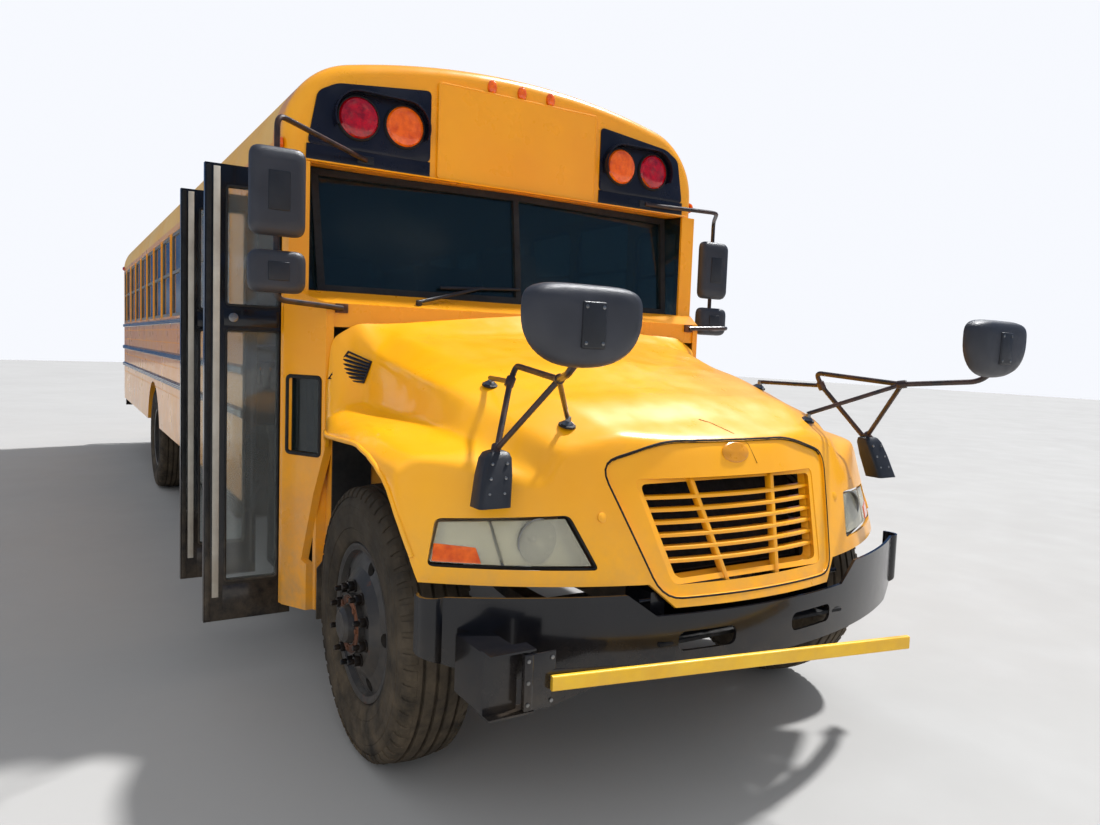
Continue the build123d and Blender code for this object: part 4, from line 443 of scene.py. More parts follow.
def make_finishes():
    finish(
        "yellow_paint", (240, 164, 14), 0.3, (231, 148, 12), patch=1.1, coat=0.35, grain=180,
        grain_depth=0.03, dust=0.55, dust_height=(0.45, 1.25),
    )
    finish(
        "hood_paint", (244, 172, 12), 0.32, (238, 161, 10), patch=1.6, coat=0.4, grain=240,
        grain_depth=0.04, dust=0.35, dust_height=(0.7, 1.1),
    )
    finish("roof_paint", (226, 172, 76), 0.5, (222, 184, 112), patch=0.9, grain=160)
    finish("white_paint", (214, 207, 190), 0.5, (190, 178, 152), patch=1.2, grain=160)
    finish("arm_paint", (240, 190, 20), 0.4, (226, 170, 16), patch=6, coat=0.2, dust=0.2)
    finish("black_paint", (13, 14, 18), 0.2, (20, 20, 24), patch=4, coat=0.3, dust=0.22,
           dust_height=(0.35, 0.72), grain=200, grain_depth=0.03, specular=0.3)
    finish("black_panel", (13, 14, 26), 0.3, (22, 23, 36), patch=3, coat=0.25, grain=220,
           specular=0.3)
    finish("black_rubber", (20, 20, 20), 0.65, (34, 33, 31), patch=9, grain=300, dust=0.35,
           dust_height=(0.3, 0.9))
    finish("black_plastic", (26, 27, 30), 0.42, (38, 39, 43), patch=7, grain=420,
           grain_depth=0.25)
    finish("mirror_plastic", (42, 43, 48), 0.42, (52, 53, 59), patch=5, grain=700,
           grain_depth=0.35)
    finish("grey_strip", (186, 180, 168), 0.55, (160, 152, 140), patch=8, grain=150,
           dust=0.5, dust_height=(0.3, 0.9))
    finish("chassis_paint", (24, 23, 22), 0.6, (44, 36, 30), patch=4, grain=120,
           grain_depth=0.3, dust=0.7, dust_height=(0.2, 1.0), rust=0.35)
    finish("tyre_rubber", (30, 28, 25), 0.85, (50, 45, 38), patch=3, grain=220,
           grain_depth=0.25, dust=0.32, dust_height=(0.0, 1.3), specular=0.25)
    finish("wheel_steel", (42, 42, 43), 0.4, (56, 55, 54), patch=7, metal=0.3, grain=160,
           dust=0.2, dust_height=(0.1, 1.0), rust=0.05)
    finish("nut_black", (20, 19, 18), 0.4, (50, 40, 32), patch=20, metal=0.4)
    finish("tube_paint", (26, 24, 23), 0.38, (70, 44, 30), patch=16, coat=0.2, grain=120,
           grain_depth=0.2)
    finish("rusty_iron", (104, 62, 38), 0.85, (58, 40, 30), patch=14, grain=140,
           grain_depth=0.5)
    finish("bare_steel", (150, 150, 150), 0.32, (118, 116, 112), patch=9, metal=0.9)
    finish("sash_metal", (150, 148, 140), 0.42, (120, 117, 108), patch=6, metal=0.7)
    finish("aluminium", (186, 186, 182), 0.32, (160, 158, 152), patch=6, metal=0.85)
    finish("mirror_face", (210, 214, 218), 0.04, (200, 204, 208), patch=2, metal=1.0,
           grain_depth=0.0)
    finish("grey_plastic", (112, 112, 110), 0.55, (96, 96, 94), patch=6, grain=300,
           grain_depth=0.2)
    finish("engine_grey", (86, 86, 84), 0.6, (60, 58, 55), patch=5, grain=80, rust=0.3)
    finish("floor_rubber", (34, 34, 34), 0.75, (48, 46, 44), patch=5, grain=200)
    finish("seat_vinyl", (66, 50, 38), 0.5, (54, 40, 30), patch=3, grain=500,
           grain_depth=0.25)
    finish("red_paint", (178, 20, 22), 0.35, (160, 16, 18), patch=4, coat=0.3)
    finish("red_lens", (176, 6, 22), 0.12, (120, 2, 14), patch=30, coat=0.8, grain=90,
           grain_depth=0.35)
    finish("amber_lens", (236, 104, 4), 0.12, (204, 74, 0), patch=30, coat=0.8, grain=90,
           grain_depth=0.35)
    finish("reflector", (206, 204, 190), 0.22, (170, 166, 148), patch=12, metal=0.6)
    # Painted shade: a near-black finish that stands in for the shadow in gaps and hollows, round the nose
    # panel, under the nose and behind the grille.
    finish("painted_shade_gap", (12, 11, 10), 0.8, (20, 18, 15), patch=9)
    finish("badge_paint", (212, 140, 16), 0.3, (198, 128, 14), patch=9, coat=0.4)
    finish("crack_line", (150, 92, 14), 0.8, (120, 70, 12), patch=40)
    glass("clear_glass", (0.82, 0.86, 0.84), dim=0.95)
    glass("windshield_glass", srgb(58, 84, 92), dim=0.92, shine=1.0)
    glass("side_glass", srgb(52, 66, 68), dim=0.9, shine=0.35)
    glass("lamp_lens", srgb(222, 218, 196), rough=0.16, dim=0.72)


NODES_OF_FINISH = {
    "roof_paint": "roof_panel",
    "yellow_paint": "front_cap side_wall_right side_wall_left rear_wall cowl sign_panel emergency_door",
    "sash_metal": "window_sashes",
    "side_glass": "window_glass emergency_glass",
    "black_paint":
        "rub_rails tank_and_battery_box front_bumper rear_bumper arm_brackets door_leaf_front "
        "door_leaf_rear arm_plate",
    "black_rubber": "windshield_frame mud_flaps",
    "windshield_glass": "front_glass",
    "chassis_paint": "front_axle rear_axle leaf_springs chassis_frame knuckle_left knuckle_right",
    "floor_rubber": "floor stepwell",
    "engine_grey": "engine_block",
    "black_plastic": "radiator side_mirrors wipers dashboard crossover_mirrors steering_wheel",
    "rusty_iron": "exhaust",
    "red_lens": "warning_lamps",
    "black_panel": "lamp_panels",
    "amber_lens": "small_lamps",
    "white_paint": "roof_hatches",
    "seat_vinyl": "seat_cushions",
    "bare_steel": "seat_frames",
    "hood_paint": "hood_shell grille",
    "lamp_lens": "headlamps",
    "tyre_rubber": "front_tyre_left front_tyre_right rear_tyres_left rear_tyres_right",
    "wheel_steel": "front_rim_left front_rim_right rear_rims_left rear_rims_right",
    "clear_glass": "door_glass_front door_glass_rear",
    "arm_paint": "crossing_arm",
    "red_paint": "stop_blade",
}


def dress_nodes():
    """Each CAD node in its own finish."""
    for finish_name, names in NODES_OF_FINISH.items():
        for node in (NODES[name] for name in names.split()):
            for i in range(len(node.data.materials)):
                node.data.materials[i] = FINISHES[finish_name]
            if not node.data.materials:
                node.data.materials.append(FINISHES[finish_name])


# Camera, light and floor

def camera():
    yaw, pitch, roll = CAMERA_YAW, CAMERA_PITCH, CAMERA_ROLL
    forward = Vector((cos(yaw) * cos(pitch), sin(yaw) * cos(pitch), sin(pitch)))
    right = Vector((sin(yaw), -cos(yaw), 0))
    up = right.cross(forward)
    side = right * cos(roll) + up * sin(roll)
    top = up * cos(roll) - right * sin(roll)
    data = bpy.data.cameras.new("camera")
    data.lens = CAMERA_LENS
    data.sensor_width = 36
    data.sensor_fit = "HORIZONTAL"
    data.clip_end = 200
    obj = bpy.data.objects.new("camera", data)
    bpy.context.scene.collection.objects.link(obj)
    turn = Matrix((side, top, -forward)).transposed().to_4x4()
    obj.matrix_world = Matrix.Translation(CAMERA_PLACE) @ turn
    bpy.context.scene.camera = obj


def lamp(name, kind, place, target, energy, **settings):
    data = bpy.data.lights.new(name, kind)
    data.energy = energy
    for key, value in settings.items():
        setattr(data, key, value)
    obj = bpy.data.objects.new(name, data)
    bpy.context.scene.collection.objects.link(obj)
    obj.location = place
    obj.rotation_mode = "QUATERNION"
    obj.rotation_quaternion = (Vector(target) - Vector(place)).to_track_quat("-Z", "Y")
    return obj


def lights():
    """A high sun, a soft fill, a pale backdrop, and a partly clouded sky seen only in reflections."""
    lamp("sun", "SUN", (FRONT_X - 1.2, 5.2, 9.5), (FRONT_X, 0, 1), 5.2, angle=radians(4))
    fill = lamp("fill", "AREA", (FRONT_X + 7, -5, 4), (FRONT_X - 1, 0, 1.2), 160, size=6)
    fill.visible_glossy = False
    world = bpy.data.worlds.new("studio")
    bpy.context.scene.world = world
    world.use_nodes = True
    tree = world.node_tree
    shown = tree.nodes["Background"]
    set_inputs(shown, Color=(0.93, 0.95, 1, 1), Strength=1)
    ambient = tree.nodes.new("ShaderNodeBackground")
    set_inputs(ambient, Color=(0.92, 0.95, 1, 1), Strength=0.8)
    sky = tree.nodes.new("ShaderNodeBackground")
    cover = add_range(tree, add_noise(tree, 4.5, 5, 0.5, "Generated"), 0.52, 0.66)
    blue, cloud = (0.06, 0.15, 0.34), (0.55, 0.6, 0.68)
    tree.links.new(add_mix(tree, cover, blue, cloud), sky.inputs["Color"])
    set_inputs(sky, Strength=0.8)
    path = tree.nodes.new("ShaderNodeLightPath")
    under = ambient
    for ray, seen in (("Is Glossy Ray", sky), ("Is Transmission Ray", shown), ("Is Camera Ray", shown)):
        mix = tree.nodes.new("ShaderNodeMixShader")
        tree.links.new(path.outputs[ray], mix.inputs["Fac"])
        tree.links.new(under.outputs[0], mix.inputs[1])
        tree.links.new(seen.outputs[0], mix.inputs[2])
        under = mix
    tree.links.new(under.outputs[0], tree.nodes["World Output"].inputs["Surface"])
    bpy.context.scene.view_settings.view_transform = "Standard"


def floor():
    bpy.ops.object.select_all(action="DESELECT")
    bpy.ops.mesh.primitive_plane_add(size=90, location=(0, 0, 0))
    obj = new_piece("studio_floor")
    finish("floor_paint", (161.7, 160.5, 158.6), 0.9, (157.6, 156.1, 154.2), patch=0.4, grain=30,
           grain_depth=0.05)
    painted(obj, "floor_paint")


# Hood

def along_sections(x):
    """The hood's half outline at a distance from the axle, smoothly between its sections."""
    rows = HOOD_SECTIONS
    i = 0
    while i < len(rows) - 2 and x > rows[i + 1][0]:
        i += 1
    x0, x1 = rows[i][0], rows[i + 1][0]
    t = (x - x0) / (x1 - x0)
    before = rows[max(i - 1, 0)]
    after = rows[min(i + 2, len(rows) - 1)]
    outline = []
    for k in range(1, len(rows[0])):
        point = []
        for c in (0, 1):
            p0, p1 = rows[i][k][c], rows[i + 1][k][c]
            if t <= 0 or t >= 1 or i == 0:
                point.append(p0 + (p1 - p0) * t)
                continue
            m0 = (p1 - before[k][c]) / (x1 - before[0]) * (x1 - x0)
            m1 = (after[k][c] - p0) / (after[0] - x0) * (x1 - x0)
            h = t * t * (3 - 2 * t)
            tangent = m0 * t * (1 - t) ** 2 - m1 * t * t * (1 - t)
            point.append(p0 * (1 - h) + p1 * h + tangent * 0.6)
        outline.append(tuple(point))
    return outline


def hood_ring(x):
    half = along_sections(x)
    outer = 1.25
    left = half + [(outer, half[-1][1] - 0.06), (outer, 0.6)]
    right = [(-y, z) for y, z in reversed(left[1:])]
    return [(FRONT_X + x, y, z) for y, z in left + right]


def nose_x(z):
    return NOSE_TIP - NOSE_RAKE * (z - NOSE_HEIGHT)


def nose_reach(y, z, back=0.0):
    """The nose's forward face at a place across and up, moved back along the bus."""
    return FRONT_X + nose_x(z) - back - (NOSE_RADIUS - sqrt(NOSE_RADIUS**2 - y * y))


def hood_plan_ring(z):
    ring = []
    steps = 24
    for i in range(steps + 1):
        y = -NOSE_CORNER_Y + 2 * NOSE_CORNER_Y * i / steps
        ring.append((nose_reach(y, z), y, z))
    side = [(0.15, 1.19), (-0.25, 1.19), (-0.65, 1.068), (-0.9, 1.068)]
    ring += [(FRONT_X + x, y, z) for x, y in side]
    ring += [(FRONT_X + x, -y, z) for x, y in reversed(side)]
    return ring


def arch_outline():
    """The front wheel opening in side view: distance from the axle and height."""
    rear = [(-0.76, 0.5), (-0.655, 1.085), (-0.648, 1.115), (-0.63, 1.14), (-0.605, 1.16)]
    rear.append((-0.55, 1.181))
    top = [(-0.48, 1.19), (0.06, 1.205), (0.115, 1.201), (0.209, 1.18), (0.285, 1.153), (0.345, 1.122)]
    front = [(0.385, 1.09), (0.42, 1.045), (0.457, 0.985), (0.511, 0.89), (0.56, 0.8), (0.57, 0.5)]
    return rear + top + front


def front_prism(outline, x_from=0.3, x_to=1.3):
    points = [(FRONT_X + x_from, y, z) for y, z in outline]
    return plate(points, (x_to - x_from, 0, 0), edge=0)


def rounded_outline(outline, radius, steps=5):
    """A front-view outline with its corners rounded."""
    count = len(outline)
    points = []
    for i in range(count):
        corner = Vector(outline[i])
        for t, far in ((0, outline[i - 1]), (1, outline[(i + 1) % count])):
            reach = (Vector(far) - corner).normalized() * radius
            if t == 0:
                start = corner + reach
            else:
                end = corner + reach
        for k in range(steps + 1):
            t = k / steps
            points.append(tuple(start * (1 - t) ** 2 + corner * 2 * t * (1 - t) + end * t * t))
    return points


NOSE_PANEL = [(-0.4, 0.776), (0.4, 0.776), (0.545, 1.2), (0.3, 1.268), (-0.3, 1.268), (-0.545, 1.2)]


def rectangle(low, high, radius, steps=5):
    """A rectangle's outline with round corners, between two corners."""
    (a, b), (c, d) = low, high
    return rounded_outline([(a, b), (c, b), (c, d), (a, d)], radius, steps)


def below_nose():
    half = [(0, 0.745), (0.365, 0.745), (0.445, 0.82), (1.3, 0.82)]
    return half + [(1.3, 0.4), (-1.3, 0.4)] + [(-y, z) for y, z in reversed(half[1:])]


def hood_solid():
    """The hood as a rounded solid, before its openings are cut."""
    stations = [-0.84, -0.72, -0.65, -0.6, -0.56, -0.5, -0.4, -0.3, -0.2, -0.1, 0.0, 0.1, 0.2]
    stations += [0.3, 0.38, 0.45, 0.52, 0.58, 0.64, 0.7, 0.78, 0.86, 0.94, 1.04]
    body = bridged([hood_ring(x) for x in stations])
    cut(body, bridged([hood_plan_ring(0.55), hood_plan_ring(1.95)]), "INTERSECT")
    modified(body, "REMESH", mode="VOXEL", voxel_size=HOOD_VOXEL)
    return modified(body, "SMOOTH", factor=0.5, iterations=22)


def hood_with_nose_panel(body):
    """The panel round the grille is set back a little inside a groove."""
    behind = moved(copied(body), offset=(-0.009, 0, 0))
    panel = front_prism(rounded_outline(NOSE_PANEL, 0.07), 0.5, 1.3)
    cut(panel, behind)
    painted(panel, "hood_paint")
    return cut(body, panel)


def hood():
    body = painted(hood_solid(), "hood_paint")
    body = hood_with_nose_panel(body)
    reach = [FRONT_X - 1.2, FRONT_X + 1.4]
    tools = [
        plate([(reach[0], y, z) for y, z in below_nose()], (2.6, 0, 0), edge=0),
        block((reach[0], -1.4, 0.4), (FRONT_X - 0.3, 1.4, 1.085), 0),
        block((reach[0], -1.4, 0.4), (FRONT_X + HOOD_REAR, 1.4, 2.0), 0),
        front_prism(rounded_outline(GRILLE_OUTLINE, 0.03)),
    ]
    for side in (-1, 1):
        arch = [(FRONT_X + x, side * 0.86, z) for x, z in arch_outline()]
        tools.append(plate(arch, (0, side * 0.5, 0), edge=0))
        tools.append(front_prism(rounded_outline([(side * y, z) for y, z in LAMP_OUTLINE], 0.02)))
    body.data.materials.append(FINISHES["painted_shade_gap"])
    for face in body.data.polygons:
        face.material_index = 0
    for tool in tools:
        painted(closed_outwards(tool), "hood_paint").data.materials.append(FINISHES["painted_shade_gap"])
        for face in tool.data.polygons:
            face.material_index = 1
        cut(body, tool)
    pick_faces(body, lambda face: face.material_index == 1)
    bpy.ops.object.mode_set(mode="EDIT")
    bpy.ops.mesh.delete(type="FACE")
    bpy.ops.object.mode_set(mode="OBJECT")
    painted(body, "hood_paint")
    for face in body.data.polygons:
        face.material_index = 0
    return modified(body, "SOLIDIFY", thickness=HOOD_SKIN, offset=-1)


def on_surface(obj, y, z, lift=0.0):
    """Where a ray along the bus from the front meets the piece."""
    hit, place, normal, _ = obj.ray_cast(Vector((FRONT_X + 2, y, z)), Vector((-1, 0, 0)))
    return place + normal * lift if hit else None


def under_drop(obj, x, y, lift=0.0):
    """Where a ray straight down meets the piece."""
    hit, place, normal, _ = obj.ray_cast(Vector((x, y, 3)), Vector((0, 0, -1)))
    return place + normal * lift if hit else None


def stepped(outline, step):
    """The outline's runs divided into short steps."""
    points = []
    for a, b in zip(outline, outline[1:]):
        count = max(1, int(hypot(b[0] - a[0], b[1] - a[1]) / step))
        for i in range(count):
            points.append((a[0] + (b[0] - a[0]) * i / count, a[1] + (b[1] - a[1]) * i / count))
    points.append(outline[-1])
    return points


def spread_from(outline, centre, reach):
    """The outline's points moved straight away from a centre."""
    points = []
    for a, b in outline:
        away = Vector((a - centre[0], b - centre[1])).normalized() * reach
        points.append((a + away.x, b + away.y))
    return points


def surface_line(obj, outline, lift):
    """Points on the hood's front under a front-view outline."""
    places = [on_surface(obj, y, z, lift) for y, z in stepped(outline, 0.014)]
    return [place for place in places if place]


def beside(obj, x, z, side):
    """Where a ray across the bus meets the piece."""
    origin = Vector((FRONT_X + x, side * 1.6, z))
    hit, place, _, _ = obj.ray_cast(origin, Vector((0, -side, 0)))
    return place if hit else None


def hood_pieces():
    """The hood with a painted shade line round its nose panel, thicker along the top as a painted shadow
    under the overhanging skin, and a lip along each wheel opening.
    """
    shell = hood()
    wide = spread_from(rounded_outline(NOSE_PANEL, 0.07), (0, 1.0), 0.006)
    # Painted shade: a dark bead along the groove round the nose panel, thicker along the top where the
    # hood's brow casts its shadow.
    groove = surface_line(shell, wide + wide[:1], -0.002)
    brow = surface_line(shell, [point for point in wide if point[1] > 1.19], -0.004)
    seam_shade = joined([seal(groove, 0.0042), tube(brow, 0.0065, sides=2, round_bends=False)])
    fitted(seam_shade, "nose_seam_shade", "hood", "painted_shade_gap")
    opening = [point for point in arch_outline() if point[0] > -0.645 and point[1] > 0.82]
    edge = spread_from(stepped(opening, 0.02), (0, 0.6), 0.007)
    for side, word in SIDES:
        arch = [beside(shell, x, z, side) for x, z in edge]
        arch = [place for place in arch if place and abs(place.y) > 0.9]
        lip = tube(arch, 0.009, round_bends=False)
        fitted(lip, f"arch_lip_{word}", "hood", "hood_paint")
    fitted(shell, "hood_skin", "hood", None, ["hood_shell"], 30)
    return shell


CRACK = [
    (0.64, -0.05), (0.665, -0.015), (0.7, 0.005), (0.74, 0.03), (0.775, 0.075), (0.8, 0.1), (0.825, 0.112),
]


def hood_fittings(shell):
    """The blank badge disc and the plugs on the nose, and the crack ahead of it."""
    profile = [(-0.004, 0), (-0.004, 0.056), (0.002, 0.058), (0.006, 0.052), (0.0075, 0)]
    disc = turned(profile, (0, 0, 0), (1, 0, 0), 40)
    disc.data.transform(Matrix.Diagonal((1, 1.1, 0.66, 1)))
    place = on_surface(shell, 0, 1.228)
    disc.data.transform(Matrix.Translation(place) @ Matrix.Rotation(-0.3, 4, "Y"))
    fitted(disc, "badge_disc", "hood", "badge_paint")
    profile = [(-0.004, 0), (-0.004, 0.017), (0.002, 0.017), (0.004, 0.013), (0.004, 0)]
    plugs = [turned(profile, on_surface(shell, y, 1.03), (1, 0, 0.3), 24) for y in (-0.566, 0.566)]
    fitted(joined(plugs), "nose_plugs", "hood", "hood_paint")
    crack = [under_drop(shell, FRONT_X + x, y, 0.0006) for x, y in CRACK]
    line = tube([place for place in crack if place], 0.0016, bend=0.01, sides=1)
    fitted(line, "hood_crack", "hood", "crack_line")


# Grille and headlamps

def leaning(low, high, z):
    z_low, z_high = GRILLE_OUTLINE[0][1], GRILLE_OUTLINE[2][1]
    return low + (high - low) * (z - z_low) / (z_high - z_low)


def grille_blade(z, height, half, back, depth):
    """One bowed cross bar, thin at its front edge."""
    steps = 14
    places = [half * (2 * i / steps - 1) for i in range(steps + 1)]
    front = [(nose_reach(y, z, back), y, z - height / 2) for y in places]
    rear = [(x - depth, y, low) for x, y, low in reversed(front)]
    return plate(front + rear, (-NOSE_RAKE * height * 0.5, 0, height), 0.003)


def grille_rib(side, low, high, width, back, depth):
    outline = []
    z_low, z_high = GRILLE_OUTLINE[0][1] - 0.01, GRILLE_OUTLINE[2][1] + 0.01
    for z, y in ((z_low, low), (z_high, high)):
        outline.append((nose_reach(y, z, back), side * (y - width / 2), z))
    for z, y in ((z_high, high), (z_low, low)):
        outline.append((nose_reach(y, z, back) - depth, side * (y - width / 2), z))
    return plate(outline, (0, side * width, 0), 0.004)


def grille():
    """Six blades set back in a deep frame, with two ribs that lean outwards as they rise."""
    border = 0.026
    low, high = GRILLE_OUTLINE[0][1] + border, GRILLE_OUTLINE[2][1] - border
    pitch = (high - low) / 7
    pieces = []
    for i in range(1, 7):
        z = low + i * pitch
        pieces.append(grille_blade(z, pitch * 0.31, leaning(0.35, 0.43, z), 0.03, 0.036))
    for side in (-1, 1):
        pieces.append(grille_rib(side, 0.12, 0.2, 0.018, 0.032, 0.032))
    edge = rounded_outline(GRILLE_OUTLINE, 0.03)
    lip = 0.018
    inner = [(y * 0.945, z + (lip if z < 1 else -lip)) for y, z in GRILLE_OUTLINE]
    inner = rounded_outline(inner, 0.025)
    rings = []
    for outline, back in ((edge, 0.012), (edge, 0.07), (inner, 0.07), (inner, 0.016)):
        rings.append([(nose_reach(y, z, back), y, z) for y, z in outline])
    band = joined([ring_of(points) for points in rings])
    with editing(band):
        bpy.ops.mesh.select_mode(type="EDGE")
        bpy.ops.mesh.bridge_edge_loops(type="CLOSED")
    pieces.append(closed_outwards(band))
    fitted(joined(pieces), "grille_bars", "hood", "hood_paint", ["grille"])
    # Painted shade: a dark plate set deep behind the bars stands in for the shadow inside the grille.
    core = plate([(nose_reach(0, z, 0.0) - 0.19, y, z) for y, z in GRILLE_OUTLINE], (-0.01, 0, 0), 0.002)
    fitted(core, "grille_shade_backing", "hood", "painted_shade_gap")


def lens_slab(outline, back, depth, edge, columns=8, rows=4):
    """A lens that follows the bowed nose between two depths."""
    (y0, z0), (y1, z1), (y2, z2), (y3, z3) = outline
    places = []
    for j in range(rows + 1):
        t = j / rows
        for i in range(columns + 1):
            s = i / columns
            y = (y0 + (y1 - y0) * s) * (1 - t) + (y3 + (y2 - y3) * s) * t
            z = (z0 + (z1 - z0) * s) * (1 - t) + (z3 + (z2 - z3) * s) * t
            places.append((nose_reach(min(abs(y), NOSE_CORNER_Y), z, back), y, z))
    bpy.ops.object.select_all(action="DESELECT")
    bpy.ops.mesh.primitive_grid_add(x_subdivisions=columns, y_subdivisions=rows, size=1)
    obj = new_piece("lens")
    for vertex, place in zip(obj.data.vertices, places):
        vertex.co = place
    with editing(obj):
        bpy.ops.mesh.extrude_region_move(TRANSFORM_OT_translate={"value": (-depth, 0, 0)})
    return bevelled(closed_outwards(obj), edge, 2, 40)


BOWL = [
    (0.0, 0.012), (0.004, 0.03), (0.03, 0.058), (0.055, 0.07), (0.055, 0.074), (0.02, 0.062),
    (-0.006, 0.034), (-0.006, 0.012),
]
BULB = [(0.0, 0.0), (0.0, 0.012), (0.03, 0.011), (0.036, 0.006), (0.038, 0.0)]
AMBER_CORNER = ((0.95, 0.932), (1.06, 0.94), (1.072, 0.885), (0.94, 0.884))
LENS_GAP = 0.012
DIVIDER_TOP_Y, DIVIDER_LOW_Y, DIVIDER_HALF = 0.9, 0.88, 0.004


def lamp_quads():
    """The main and the corner lens in front view, on either side of the divider."""
    (a, b), (c, d), (e, f), (g, h) = LAMP_OUTLINE
    top_z = d + (b - d) * 0.6 - LENS_GAP
    low_z = f + LENS_GAP
    top_y, low_y, half = DIVIDER_TOP_Y, DIVIDER_LOW_Y, DIVIDER_HALF
    main = [(c + LENS_GAP, d - LENS_GAP), (top_y - half, top_z), (low_y - half, low_z)]
    main.append((e + LENS_GAP * 1.6, low_z))
    corner = [(top_y + half, top_z), (a - LENS_GAP, b - LENS_GAP), (g - LENS_GAP, h + LENS_GAP)]
    corner.append((low_y + half, low_z))
    return main, corner


def headlamps():
    """Milky lenses over a reflector bowl, an amber corner and a black gasket."""
    for side, word in SIDES:
        def mirrored(outline):
            return [(side * y, z) for y, z in outline]

        lens = joined([lens_slab(mirrored(quad), 0.006, 0.01, 0.003) for quad in lamp_quads()])
        fitted(lens, f"headlamp_lens_{word}", "hood", "lamp_lens",
               ["headlamps"] if side < 0 else ())
        back = lens_slab(mirrored(LAMP_OUTLINE), 0.1, 0.012, 0.002)
        fitted(back, f"headlamp_back_{word}", "hood", "reflector")
        centre = (nose_reach(0.76, 0.95, 0.088), side * 0.76, 0.952)
        bowl = joined([turned(BOWL, centre, (1, 0, 0), 32), turned(BULB, centre, (1, 0, 0), 16)])
        fitted(bowl, f"headlamp_bowl_{word}", "hood", "bare_steel")
        amber = lens_slab(mirrored(AMBER_CORNER), 0.003, 0.008, 0.002)
        fitted(amber, f"side_reflector_{word}", "hood", "amber_lens")
        rim = rounded_outline(mirrored(LAMP_OUTLINE), 0.02)
        rim = [(nose_reach(min(abs(y), NOSE_CORNER_Y), z, 0.011), y, z) for y, z in rim]
        fitted(seal(rim, 0.006), f"headlamp_gasket_{word}", "hood", "black_rubber")


# Lamps and panels on the cap and the rear wall

RED_PLACE = (0.871, 2.616)
AMBER_PLACE = (0.643, 2.614)
LAMP_R = 0.094


def lamp_dome(place, axis, radius, finish_name):
    """A domed lens with moulded rings, and its dark bezel."""
    profile = [(-0.004, 0), (-0.004, radius), (0.012, radius)]
    rings = 12
    for i in range(1, rings):
        share = 1 - i / rings
        ridge = 0.0012 if i % 2 else 0
        profile.append((0.012 + 0.02 * sqrt(1 - share**2) + ridge, radius * share))
    profile.append((0.033, 0))
    lens = turned(profile, place, axis, 48)
    bezel = [(-0.004, 0.001), (-0.004, 0.01), (0.01, 0.009), (0.014, 0.006), (0.014, 0.001)]
    rim = turned([(reach, radius + wide) for reach, wide in bezel], place, axis, 48)
    return painted(lens, finish_name), painted(rim, "black_rubber")


PANEL_OUTLINE = [(0.505, 2.468), (1.105, 2.468), (1.06, 2.71), (0.97, 2.76), (0.505, 2.812)]
BAND_OUTLINE = [(0.505, 2.398), (1.11, 2.398), (1.108, 2.4705), (0.505, 2.4705)]
REAR_LAMP_RISE = 0.04


def cap_panels():
    """On each side a black panel holds a red and an amber lamp under one arched visor."""
    face, front = CAP_X + 0.008, CAP_X + 0.0005
    panels, lenses = [], {"red": [], "amber": []}
    for side in (-1, 1):
        outline = rounded_outline(PANEL_OUTLINE, 0.03)
        panels.append(plate([(front, side * y, z) for y, z in outline], (0.008, 0, 0), 0.003))
        panels.append(plate([(front, side * y, z) for y, z in BAND_OUTLINE], (0.006, 0, 0), 0.002))
        arch = []
        for radius, turn in ((0.121, 1), (0.114, -1)):
            curve = []
            for (y, z), first in ((RED_PLACE, -25), (AMBER_PLACE, 90)):
                for i in range(11):
                    angle = radians(first + 11.5 * i)
                    curve.append((y + radius * cos(angle), z + radius * sin(angle)))
            arch += curve[::turn]
        panels.append(plate([(face, side * y, z) for y, z in arch], (0.05, 0, 0), 0.0015))
        for (y, z), colour in ((RED_PLACE, "red"), (AMBER_PLACE, "amber")):
            for x, rise, ahead in ((face, 0, 1), (REAR_X - 0.004, REAR_LAMP_RISE, -1)):
                place = (x, side * y, z + rise)
                lens, rim = lamp_dome(place, (ahead, 0, 0), LAMP_R, f"{colour}_lens")
                lenses[colour].append(lens)
                panels.append(rim)
    for panel in panels:
        if not panel.data.materials:
            painted(panel, "black_panel")
    fitted(joined(panels), "lamp_panel_faces", "body", None, ["lamp_panels"])
    red, amber = joined(lenses["red"]), joined(lenses["amber"])
    fitted(red, "red_warning_lamps", "body", None, ["warning_lamps"])
    fitted(amber, "amber_warning_lamps", "body", None)


TAIL_LAMPS = (
    # across, height, radius, colour
    (1.0, 1.48, 0.089, "red"), (1.0, 1.27, 0.089, "amber"), (0.56, 1.3, 0.05, "red"),
    (0.7, 1.3, 0.05, "clear"),
)
ROUND_MARKER = [(0, 0), (0, 0.03), (0.012, 0.028), (0.024, 0.016), (0.028, 0)]


